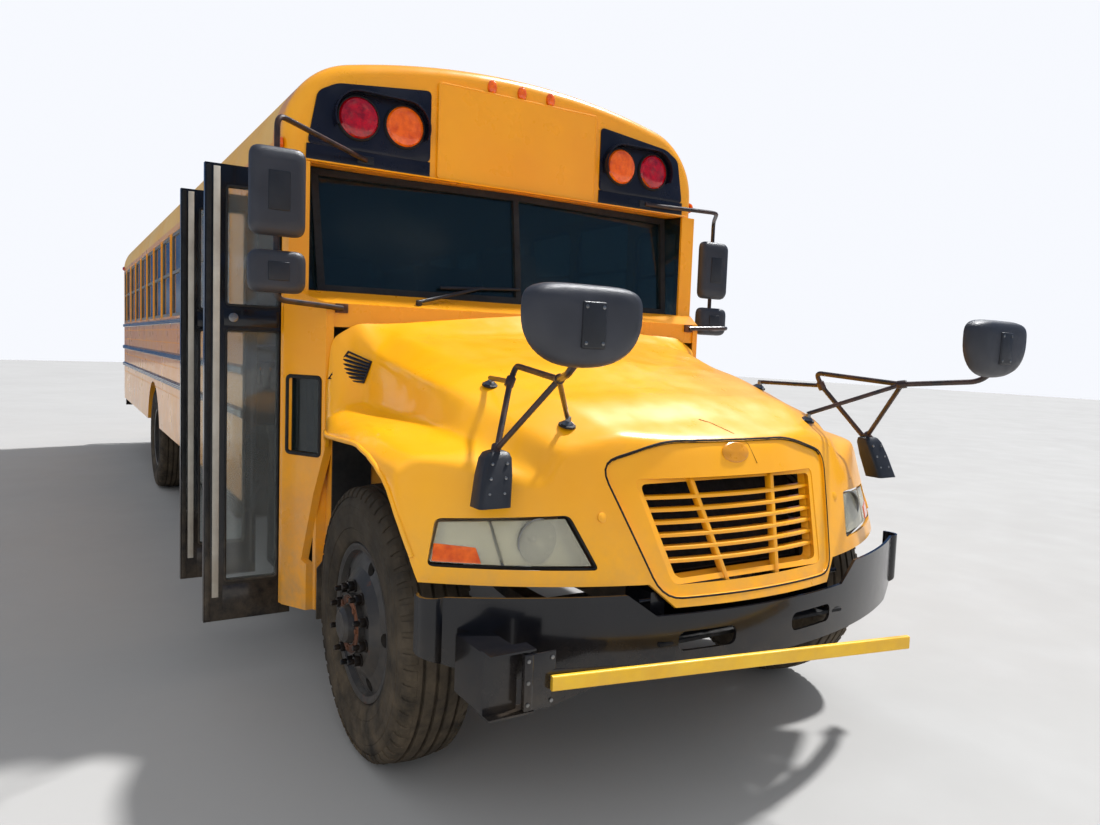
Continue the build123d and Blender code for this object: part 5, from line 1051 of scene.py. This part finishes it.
def small_lamp_pieces():
    """Teardrop markers over the sign, round side markers, and the rear's stop and turn lamps."""
    groups = {"red": [], "amber": [], "rims": []}
    profile = [(0, 0), (0, 0.033), (0.008, 0.031), (0.02, 0.02), (0.026, 0)]
    drop = turned(profile, (0, 0, 0), (1, 0, 0), 28)
    drop.data.transform(Matrix.Diagonal((1, 0.8, 1.15, 1)))
    for y in (-0.174, 0, 0.174):
        groups["amber"].append(moved(copied(drop), (CAP_X + 0.001, y, 2.893)))
        back = moved(copied(drop), (0, 0, 0), pi, "Z")
        groups["red"].append(back)
        back.data.transform(Matrix.Translation((REAR_X - 0.001, y, 2.851)))
    bpy.data.objects.remove(drop)
    for side in (-1, 1):
        markers = ((CAP_X - 0.05, 2.46, "amber"), (CAP_X - 3.2, 2.5, "amber"), (REAR_X + 0.12, 2.5, "red"))
        for x, z, colour in markers:
            groups[colour].append(turned(ROUND_MARKER, (x, side * BODY_Y, z), (0, side, 0), 28))
        for y, z, radius, colour in TAIL_LAMPS:
            name = "reflector" if colour == "clear" else f"{colour}_lens"
            lens, rim = lamp_dome((REAR_X - 0.002, side * y, z), (-1, 0, 0), radius, name)
            groups["rims" if colour == "clear" else colour].append(lens)
            groups["rims"].append(rim)
    for colour in ("amber", "red"):
        for piece in groups[colour]:
            painted(piece, f"{colour}_lens")
    fitted(joined(groups["amber"]), "amber_markers", "body", None, ["small_lamps"])
    fitted(joined(groups["red"]), "red_markers", "body", None)
    fitted(joined(groups["rims"]), "rear_lamp_rims", "body", None)


def sign_trim():
    """The blank sign's rolled rim and the folded yellow lip below it."""
    outline = rectangle((-0.466, 2.402), (0.466, 2.86), 0.015)
    rim = seal([(CAP_X + 0.012, y, z) for y, z in outline], 0.005)
    lip = [(0.001, 2.387), (0.034, 2.387), (0.038, 2.393), (0.012, 2.4), (0.001, 2.4)]
    lip = plate([(CAP_X + x, -1.12, z) for x, z in lip], (0, 2.24, 0), 0.0015)
    fitted(joined([rim, lip]), "sign_trim", "body", "yellow_paint")


# Entrance doors

LEAF_PANES = ((0.47, 1.61), (1.72, 2.24))
LEAVES = (("front", -0.961, -0.926), ("rear", -1.724, -1.689))
LOCK_PROFILE = [
    (-0.002, 0), (-0.002, 0.02), (0.004, 0.02), (0.006, 0.016), (0.006, 0.01), (0.01, 0.009), (0.011, 0),
]


def door_trim():
    """Rubber edges, pale strips, pane gaskets and a key lock on the open leaves."""
    for word, low_x, high_x in LEAVES:
        body = f"entrance_door_{word}"
        low_x, high_x = FRONT_X + low_x, FRONT_X + high_x
        gaskets = [block((low_x - 0.0015, -1.5295, 0.292), (high_x + 0.0015, -1.497, 2.328), 0.011, 4)]
        for face in (low_x - 0.0005, high_x + 0.0005):
            for low, high in LEAF_PANES:
                corners = rectangle((-1.44, low), (-1.212, high), 0.018)
                gaskets.append(seal([(face, y, z) for y, z in corners], 0.0055))
        fitted(joined(gaskets), f"door_rubber_{word}", body, "black_rubber")
        strips = []
        for x in (low_x - 0.003, high_x - 0.001):
            strips.append(block((x, -1.495, 0.4), (x + 0.004, -1.467, 2.318), 0.0015))
        fitted(joined(strips), f"door_strip_{word}", body, "grey_strip")
        rails = []
        for low, high in ((0.296, 0.452), (1.628, 1.702)):
            rails.append(block((high_x - 0.001, -1.45, low), (high_x + 0.002, -1.2, high), 0.0015))
        fitted(joined(rails), f"door_rails_{word}", body, "black_paint")
    lock = turned(LOCK_PROFILE, (FRONT_X - 0.924, -1.41, 1.665), (1, 0, 0), 32)
    fitted(lock, "door_lock", "entrance_door_front", "bare_steel")


# Wheels

SIDEWALL = [
    (0.082, 0.2893), (0.0996, 0.2893), (0.1036, 0.2985), (0.11, 0.3005), (0.118, 0.304), (0.122, 0.309),
    (0.128, 0.33), (0.134, 0.352), (0.1325, 0.3555), (0.136, 0.3585), (0.1385, 0.385), (0.1398, 0.405),
    (0.1385, 0.4085), (0.1395, 0.4125), (0.1378, 0.436), (0.1352, 0.4395), (0.136, 0.443), (0.134, 0.455),
    (0.127, 0.472), (0.1245, 0.4745), (0.1205, 0.488), (0.108, 0.5035),
]
TREAD = [
    (0.1, 0.5085), (0.074, 0.513), (0.072, 0.501), (0.063, 0.501), (0.061, 0.5158), (0.028, 0.5188),
    (0.026, 0.5055), (0.016, 0.5055), (0.014, 0.5195), (0, 0.52),
]
LUG_VIEW = [
    (0.09, 0.5), (0.125, 0.473), (0.1325, 0.4735), (0.1265, 0.4915), (0.1125, 0.5075), (0.09, 0.5125),
]
LUGS, LUG_WIDTH = 58, 0.035
NUTS, NUT_CIRCLE = 10, 0.143
HUB_BOLTS, HUB_CIRCLE = 8, 0.093
BORE = [(-0.118, 0.37), (-0.112, 0.45), (-0.06, 0.492), (0.06, 0.492), (0.112, 0.45), (0.118, 0.37)]


def spun_copies(obj, count, centre):
    """Copies of the piece all round the wheel's axis."""
    angle = 2 * pi * (count - 1) / count
    with editing(obj):
        bpy.ops.mesh.spin(steps=count - 1, dupli=True, angle=angle, center=centre, axis=(0, 1, 0))
    return obj


def tyre(centre):
    """A worn highway tyre with ringed walls, four grooves and lugs along its shoulders."""
    half = SIDEWALL + TREAD
    profile = half + [(-across, radius) for across, radius in reversed(half[:-1])] + BORE
    pieces = [turned(profile, centre, (0, 1, 0), 96)]
    x, y, z = centre
    for side in (-1, 1):
        view = [(x - LUG_WIDTH / 2, y + side * across, z + radius) for across, radius in LUG_VIEW]
        pieces.append(spun_copies(plate(view, (LUG_WIDTH, 0, 0), 0.002, 1), LUGS, centre))
    return closed_outwards(joined(pieces))


def wheel_nuts(face, side):
    """Ten nuts on their studs, in a ring round the disc."""
    top = TYRE_R + NUT_CIRCLE
    parts = []
    for low, high, radius, edge, sides in (
        # the flange, the nut and the stud
        (-0.002, 0.006, 0.0235, 0.0015, 20), (0.005, 0.028, 0.0195, 0.002, 6),
        (0.027, 0.05, 0.0105, 0.002, 12),
    ):
        start, end = (FRONT_X, face + side * low, top), (FRONT_X, face + side * high, top)
        parts.append(rod(start, end, radius, edge, sides))
    return spun_copies(joined(parts), NUTS, (FRONT_X, face, TYRE_R))


def hub_bolts(face, side):
    """The hub's ring of small bolts on its flange."""
    top = TYRE_R + HUB_CIRCLE
    bolt = rod((FRONT_X, face - side * 0.002, top), (FRONT_X, face + side * 0.01, top), 0.01, 0.0012, 6)
    profile = [(-0.001, 0.076), (-0.001, 0.108), (0.003, 0.106), (0.003, 0.078)]
    centre = (FRONT_X, face, TYRE_R)
    ring = turned([(side * along, radius) for along, radius in profile], centre, (0, 1, 0), 48)
    return joined([spun_copies(bolt, HUB_BOLTS, centre), ring])


RIM_EDGE = 0.112
RIM_FLANGE = [
    (-0.006, 0.2975), (0.0005, 0.2995), (0.004, 0.2965), (0.004, 0.288), (0, 0.276), (-0.006, 0.276),
]


def rim_rings(centre_y, side):
    """The rolled flange round the rim."""
    profile = [(side * (RIM_EDGE + along), radius) for along, radius in RIM_FLANGE]
    return turned(profile, (FRONT_X, centre_y, TYRE_R), (0, 1, 0), 72)


TWIN_TYRES_Y = (0.73, 1.05)
# Across from the middle of the bus: the wheel's plane, the disc's face and the hub's face
FRONT_FACES = (1.0, 1.138, 1.158)
REAR_FACES = (1.05, 0.904, 1.01)


def wheel_trim(faces, side):
    """The nuts, the hub's bolts and the rim's flange of one wheel."""
    plane, disc, hub = faces
    nuts = painted(wheel_nuts(side * disc, side), "nut_black")
    bolts = painted(hub_bolts(side * hub, side), "rusty_iron")
    flange = painted(rim_rings(side * plane, side), "wheel_steel")
    return joined([nuts, bolts, flange])


def wheels():
    first = tyre((FRONT_X, TYRE_Y, TYRE_R))
    back = REAR_AXLE_X - FRONT_X
    for side, word in reversed(SIDES):
        front_body, rear_body = f"front_wheel_{word}", f"rear_wheels_{word}"
        front = moved(copied(first), (0, side * TYRE_Y - TYRE_Y, 0))
        fitted(front, f"front_tread_{word}", front_body, "tyre_rubber", [f"front_tyre_{word}"], 30)
        twins = joined([moved(copied(first), (back, side * y - TYRE_Y, 0)) for y in TWIN_TYRES_Y])
        fitted(twins, f"rear_tread_{word}", rear_body, "tyre_rubber", [f"rear_tyres_{word}"], 30)
        fitted(wheel_trim(FRONT_FACES, side), f"front_nuts_{word}", front_body, None)
        rear = moved(wheel_trim(REAR_FACES, side), (back, 0, 0))
        fitted(rear, f"rear_nuts_{word}", rear_body, None)
    bpy.data.objects.remove(first)


# Mirrors

def mirror_outline(width, height, count=44):
    """A mirror's outline: nearly flat above and half an ellipse below."""
    points = []
    for i in range(count):
        angle = 2 * pi * i / count
        c, s = cos(angle), sin(angle)
        if s > 0:
            points.append((copysign(abs(c) ** 0.5, c) * width / 2, s**0.5 * height * 0.36))
        else:
            points.append((copysign(abs(c) ** 0.82, c) * width / 2, -(abs(s) ** 0.9) * height * 0.64))
    return points


def dished(outline, centre, layers):
    """A closed form through scaled copies of an outline, each at its own depth along the bus."""
    x, y, z = centre
    rings = []
    for depth, scale in layers:
        rings.append([(x + depth, y + a * scale, z + b * scale) for a, b in outline])
    return bridged(rings)


def screws_at(places):
    """Small round screw heads that face forward."""
    profile = [(-0.003, 0), (-0.003, 0.0055), (0.001, 0.005), (0.003, 0)]
    return [painted(turned(profile, place, (1, 0, 0), 14), "bare_steel") for place in places]


# Share of the pedestal's height, half its width and half its depth
PEDESTAL_STEPS = (
    (0, 0.056, 0.04), (0.55, 0.053, 0.037), (0.86, 0.047, 0.032), (0.96, 0.038, 0.026), (1, 0.022, 0.015),
)
CROSSOVER_SHELL = (
    (0, 0.965), (0.004, 0.995), (0.012, 1), (0.03, 0.975), (0.046, 0.91), (0.056, 0.8), (0.061, 0.62),
    (0.063, 0.3),
)
CROSSOVER_GLASS = ((0.001, 0.945), (-0.006, 0.9), (-0.014, 0.72), (-0.019, 0.45), (-0.02, 0.15))
FOOT_PAD = [(0, 0), (0, 0.031), (0.006, 0.03), (0.009, 0.024), (0.009, 0)]
FOOT_CAP = [(0.008, 0), (0.008, 0.024), (0.013, 0.021), (0.02, 0.011), (0.034, 0.009), (0.034, 0)]


def crossover_side(shell, side, word):
    """One crossover mirror: a pedestal on the fender, a tube frame with two feet, and the head."""
    def at(x, y, z):
        return Vector((FRONT_X + x, side * y, z))

    base, top = at(0.705, 0.945, 1.08), at(0.655, 0.905, 1.25)
    corners = rectangle((-1, -1), (1, 1), 0.35, 4)
    rings = []
    for share, wide, deep in PEDESTAL_STEPS:
        middle = base.lerp(top, share)
        rings.append([(middle.x + deep * a, middle.y + wide * b, middle.z) for a, b in corners])
    solids = [bridged(rings)]
    screw_places = []
    for share in (0.25, 0.52, 0.78):
        middle = base.lerp(top, share)
        screw_places += [(middle.x + 0.0375, middle.y + dy, middle.z) for dy in (-0.026, 0.026)]

    joint_a, corner = at(0.5, 0.777, 1.459), at(0.49, 0.75, 1.514)
    joint_b, stem = at(0.87, 0.814, 1.485), at(1.175, 0.94, 1.54)
    feet = [under_drop(shell, FRONT_X + x, side * y) for x, y in ((0.203, 0.7), (0.587, 0.597))]
    stem_start, stem_end = stem - Vector((0.06, 0, 0.03)), stem + Vector((0.01, 0, 0.03))
    start = top - Vector((0, 0, 0.02))
    tubes = [
        tube([start, joint_a, corner, joint_b, stem_start, stem_end], 0.0105, 0.035),
        tube([top, joint_b], 0.0095),
    ]
    for foot, joint in zip(feet, (joint_a, joint_b)):
        tubes.append(tube([foot + Vector((0, 0, 0.03)), joint], 0.009))
    for joint, toward in ((joint_a, corner - joint_a), (joint_b, stem - joint_b), (top, joint_a - top)):
        step = toward.normalized() * 0.018
        tubes.append(rod(joint - step, joint + step, 0.0165, 0.003, 20))
    caps = [painted(turned(FOOT_CAP, foot, (0.3, 0, 1), 32), "bare_steel") for foot in feet]
    pads = [painted(turned(FOOT_PAD, foot, (0.3, 0, 1), 32), "black_rubber") for foot in feet]

    outline = mirror_outline(0.365, 0.216)
    centre = at(1.15, 0.93, 1.666)
    head = painted(dished(outline, centre, CROSSOVER_SHELL), "mirror_plastic")
    face = dished(outline, centre, CROSSOVER_GLASS)
    middle = centre - Vector((0, 0, 0.028))
    low, high = middle + Vector((0.055, -0.037, -0.06)), middle + Vector((0.0685, 0.037, 0.06))
    solids.append(block(low, high, 0.006, 3))
    for dy in (-0.026, 0.026):
        screw_places += [tuple(middle + Vector((0.0685, dy, dz))) for dz in (-0.046, 0.046)]
    for piece in solids:
        painted(piece, "black_plastic")
    for piece in tubes:
        painted(piece, "tube_paint")
    head = joined([head] + solids + screws_at(screw_places))
    fitted(face, f"crossover_glass_{word}", "hood", "mirror_face")
    fitted(head, f"crossover_head_{word}", "hood", None)
    fitted(joined(tubes + caps + pads), f"crossover_frame_{word}", "hood", None,
           ["crossover_mirrors"] if side < 0 else ())


def side_head(x, y, low, high, width, depth):
    """A side mirror: a rounded back with a mount plate, and its glass facing the rear."""
    half, half_height = width / 2, (high - low) / 2
    middle = (low + high) / 2
    outline = rectangle((-half, -half_height), (half, half_height), 0.045)
    layers = (
        (0, 0.965), (0.003, 0.995), (0.012, 1), (depth * 0.5, 0.985), (depth * 0.75, 0.94),
        (depth * 0.93, 0.84), (depth, 0.66),
    )
    glass_layers = ((0.001, 0.93), (-0.004, 0.9), (-0.006, 0.5))
    centre = (x, y, middle)
    shell = painted(dished(outline, centre, layers), "mirror_plastic")
    glass_face = painted(dished(outline, centre, glass_layers), "mirror_face")
    tall = half_height * 0.44
    back = x + depth
    low, high = (back - 0.004, y - 0.042, middle - tall), (back + 0.004, y + 0.042, middle + tall)
    mount = block(low, high, 0.004, 3)
    return [shell, glass_face, painted(mount, "black_plastic")]


MIRROR_FOOT, MIRROR_CLAMP = (-0.652, 1.004, 1.722), (-0.885, 0.83, 2.43)
RIGHT_ROUTE = [(-0.48, 1.33, 1.735), (-0.48, 1.33, 2.465), (-0.56, 1.23, 2.458)]
LEFT_ROUTE = [(-0.62, 1.27, 1.735), (-0.95, 1.42, 1.735), (-0.95, 1.42, 2.4), (-0.78, 1.29, 2.42)]


def side_mirror_pieces():
    """The mirrors beside the door and the driver's window, on their tube frames."""
    mirrors = (
        (-1, "right", RIGHT_ROUTE, (-0.478, 1.33), 0.0),
        (1, "left", LEFT_ROUTE, (-0.948, 1.416), 0.06),
    )
    for side, word, route, (x, y), drop in mirrors:
        points = [MIRROR_FOOT] + route + [MIRROR_CLAMP]
        points = [(FRONT_X + a, side * b, c) for a, b, c in points]
        pieces = [painted(tube(points, 0.012, 0.05), "tube_paint")]
        x, y = FRONT_X + x, side * y
        pieces += side_head(x, y, 1.985 - drop, 2.335 - drop, 0.22, 0.048)
        pieces += side_head(x, y, 1.76 - drop, 1.93 - drop, 0.226, 0.053)
        y = side * MIRROR_FOOT[1]
        foot = block((FRONT_X - 0.6647, y - 0.028, 1.702), (FRONT_X - 0.651, y + 0.028, 1.742), 0.003)
        y = side * MIRROR_CLAMP[1]
        clamp = block((FRONT_X - 0.894, y - 0.04, 2.412), (FRONT_X - 0.884, y + 0.04, 2.45), 0.003)
        pieces += [painted(foot, "rusty_iron"), painted(clamp, "black_plastic")]
        fitted(joined(pieces), f"side_mirror_{word}", "body", None,
               ["side_mirrors"] if side < 0 else ())


# Trim on the front and along the sides

def nose_gap_shade():
    """A dark sheet of painted shade that closes the gap between the nose and the bumper."""
    half = 0.44
    # Painted shade: the low sheet and the strip above it stand in for the shadow seen through the gap.
    shade_sheet = block((FRONT_X + 0.5, -half, 0.628), (FRONT_X + 0.945, half, 0.642), 0.004)
    lip = block((FRONT_X + 0.53, -0.52, 0.735), (FRONT_X + 0.6, 0.52, 0.747), 0.004)
    fitted(joined([shade_sheet, lip]), "nose_gap_shade", "body", "painted_shade_gap")


def arm_trim():
    """The arm's face plate with its screws."""
    x, y = FRONT_X + 0.955, -0.93
    cover = painted(block((x, y - 0.02, 0.526), (x + 0.006, y + 0.085, 0.694), 0.002), "black_paint")
    profile = [(-0.002, 0), (-0.002, 0.0065), (0.003, 0.006), (0.0045, 0)]
    screws = []
    for dy in (-0.008, 0.072):
        for z in (0.545, 0.61, 0.675):
            screw = turned(profile, (x + 0.006, y + dy, z), (1, 0, 0), 14)
            screws.append(painted(screw, "bare_steel"))
    fitted(joined([cover] + screws), "arm_cover", "crossing_arm", None)


VENT_CORNERS = ((-0.63, 1.41), (-0.52, 1.4), (-0.5, 1.49), (-0.6, 1.53))


def side_vent(shell):
    """A black louvre low on each side of the hood's rear."""
    lift, bars = 0.003, 6
    for side, word in SIDES:
        corners = [beside(shell, x, z, side) for x, z in VENT_CORNERS]
        a, b, c, d = (corner + Vector((0, side * lift, 0.002)) for corner in corners)
        parts = [tube([a, b, c, d], 0.006, closed=True, sides=2, round_bends=False)]
        for i in range(1, bars + 1):
            share = i / (bars + 1)
            slat = [a.lerp(d, share), b.lerp(c, share)]
            parts.append(tube(slat, 0.0065, sides=2, round_bends=False))
        fitted(joined(parts), f"hood_vent_{word}", "hood", "black_panel")


def quarter_frames():
    """The rubber round the small window ahead of the entrance, on both sides."""
    outline = rectangle((-0.86, 1.063), (-0.683, 1.412), 0.018)
    for side, word in SIDES:
        wall = [beside(NODES["cowl"], x, z, side) for x, z in outline]
        wall = [place for place in wall if place and abs(place.y) > 1]
        fitted(seal(wall, 0.009), f"quarter_rubber_{word}", "body", "black_rubber")


RIVET = [(-0.001, 0), (-0.001, 0.0065), (0.0012, 0.0058), (0.0028, 0.0032), (0.0033, 0)]
RIVET_ROWS_Z = (1.062, 1.305, 1.515, 1.63)
RIVETS_A_ROW, RIVET_PITCH = 80, 0.1


def side_rivets():
    """Rows of rivets along the wall sheets, above and below the rub rails."""
    for side, word in SIDES:
        rivet = turned(RIVET, (0, 0, 0), (0, side, 0), 10)
        row = []
        for z in RIVET_ROWS_Z:
            for i in range(RIVETS_A_ROW):
                x = REAR_X + 0.16 + i * RIVET_PITCH
                row.append(moved(copied(rivet), (x, side * BODY_Y, z)))
        fitted(joined(row), f"rivets_{word}", "body", "yellow_paint")
        bpy.data.objects.remove(rivet)


def rail_ribs():
    """Fine ribs pressed along each rub rail."""
    for side, word in SIDES:
        ribs = []
        for rail_z, proud in ((1.7, 0.016), (1.4, 0.02), (1.16, 0.02)):
            face = side * (BODY_Y + proud)
            low_y, high_y = sorted((face - side * 0.001, face + side * 0.0035))
            for z in (rail_z - 0.014, rail_z, rail_z + 0.014):
                low, high = (REAR_X + 0.05, low_y, z - 0.003), (FRONT_X - 1.86, high_y, z + 0.003)
                ribs.append(block(low, high, 0.0012, 1))
        fitted(joined(ribs), f"rail_ribs_{word}", "body", "black_paint")


WINDOWS, WINDOW_PITCH, FIRST_WINDOW_X = 12, 0.7, -9.84
ENTRANCE_REAR_X = -1.86


def window_trims():
    """A raised yellow flange round each side window opening."""
    for side, word in SIDES:
        trims = []
        for i in range(WINDOWS):
            start = FIRST_WINDOW_X + i * WINDOW_PITCH
            if side < 0 and start + WINDOW_PITCH > ENTRANCE_REAR_X:
                continue
            outline = rectangle((start + 0.034, 1.737), (start + 0.666, 2.458), 0.03, 3)
            trims.append(seal([(FRONT_X + x, side * (BODY_Y + 0.001), z) for x, z in outline], 0.0045, 1))
        fitted(joined(trims), f"window_trims_{word}", "body", "yellow_paint")


# Seats

def crowned(obj, rise, pinch):
    """Faces swell towards their middles and the sides pull in between the corners."""
    low = Vector([min(v.co[k] for v in obj.data.vertices) for k in range(3)])
    high = Vector([max(v.co[k] for v in obj.data.vertices) for k in range(3)])
    middle, half = (low + high) / 2, (high - low) / 2
    for vertex in obj.data.vertices:
        u, v, w = ((vertex.co[k] - middle[k]) / half[k] for k in range(3))
        vertex.co.z += rise * (1 - u * u) * (1 - v * v) * max(w, 0)
        vertex.co.x -= pinch * copysign(1, u) * abs(u) * (1 - v * v)
        vertex.co.y -= pinch * copysign(1, v) * abs(v) * (1 - u * u)
    return obj


def soft_block(low, high, edge, cuts=5):
    """A padded form from a rounded box with enough faces to swell."""
    pad = block(low, high, edge, 3)
    with editing(pad):
        bpy.ops.mesh.subdivide(number_cuts=cuts)
    return pad


def padded_piece(obj, name, replaces=()):
    """A seat pad of the given name, in seat vinyl."""
    fitted(obj, name, "body", "seat_vinyl", replaces, 50)


def bench(x, side):
    """One bench: a crowned seat pad with a welt round its edge, and a high crowned back."""
    low_y, high_y = sorted((side * 1.143, side * 0.163))
    seat = soft_block((x - 0.038, low_y, 1.43), (x + 0.358, high_y, 1.53), 0.026, 3)
    seat = crowned(seat, 0.01, 0.008)
    welt = rectangle((x - 0.03, low_y + 0.008), (x + 0.35, high_y - 0.008), 0.03)
    welt = seal([(a, b, 1.52) for a, b in welt], 0.0035, 1)
    half_height, swell = 0.365, 0.012
    back = soft_block((x - 0.045, low_y, -half_height), (x + 0.02, high_y, 0.362), 0.026, 3)
    back = crowned(back, 0, 0.006)
    for vertex in back.data.vertices:
        height = vertex.co.z / half_height
        vertex.co.x += swell * (1 - height * height) * copysign(1, vertex.co.x - x + 0.0125)
    place = Matrix.Translation((x - 0.1, 0, 1.795))
    back.data.transform(place @ Matrix.Rotation(-0.062, 4, "Y") @ Matrix.Translation((-x, 0, 0)))
    return joined([seat, welt]), back


SEAT_ROWS, SEAT_PITCH, FIRST_SEAT_X = 11, 0.7, REAR_X + 0.7


def seats():
    """Eleven rows of benches, copied from the rearmost one on each side, and the driver's seat."""
    for side, word in SIDES:
        models = bench(FIRST_SEAT_X, side)
        for i in range(SEAT_ROWS):
            for model, kind in zip(models, ("seat", "back")):
                pad = moved(copied(model), (i * SEAT_PITCH, 0, 0)) if i else model
                replaces = ["seat_cushions"] if i == 0 and side < 0 and kind == "seat" else ()
                padded_piece(pad, f"bench_{kind}_{word}_{i + 1}", replaces)
    x, y = FRONT_X - 1.75, 0.56
    cushion = soft_block((x - 0.2, y - 0.238, 1.432), (x + 0.248, y + 0.238, 1.545), 0.03, 4)
    padded_piece(crowned(cushion, 0.012, 0.012), "driver_cushion")
    back = crowned(soft_block((-0.04, y - 0.228, -0.34), (0.045, y + 0.228, 0.34), 0.03, 4), 0, 0.012)
    back.data.transform(Matrix.Translation((x - 0.275, 0, 1.88)) @ Matrix.Rotation(-0.085, 4, "Y"))
    padded_piece(back, "driver_back")


make_finishes()
dress_nodes()
camera()
lights()
floor()
HOOD = hood_pieces()
grille()
headlamps()
hood_fittings(HOOD)
cap_panels()
small_lamp_pieces()
sign_trim()
door_trim()
wheels()
for across, word in SIDES:
    crossover_side(HOOD, across, word)
side_mirror_pieces()
nose_gap_shade()
arm_trim()
side_vent(HOOD)
quarter_frames()
side_rivets()
rail_ribs()
window_trims()
seats()
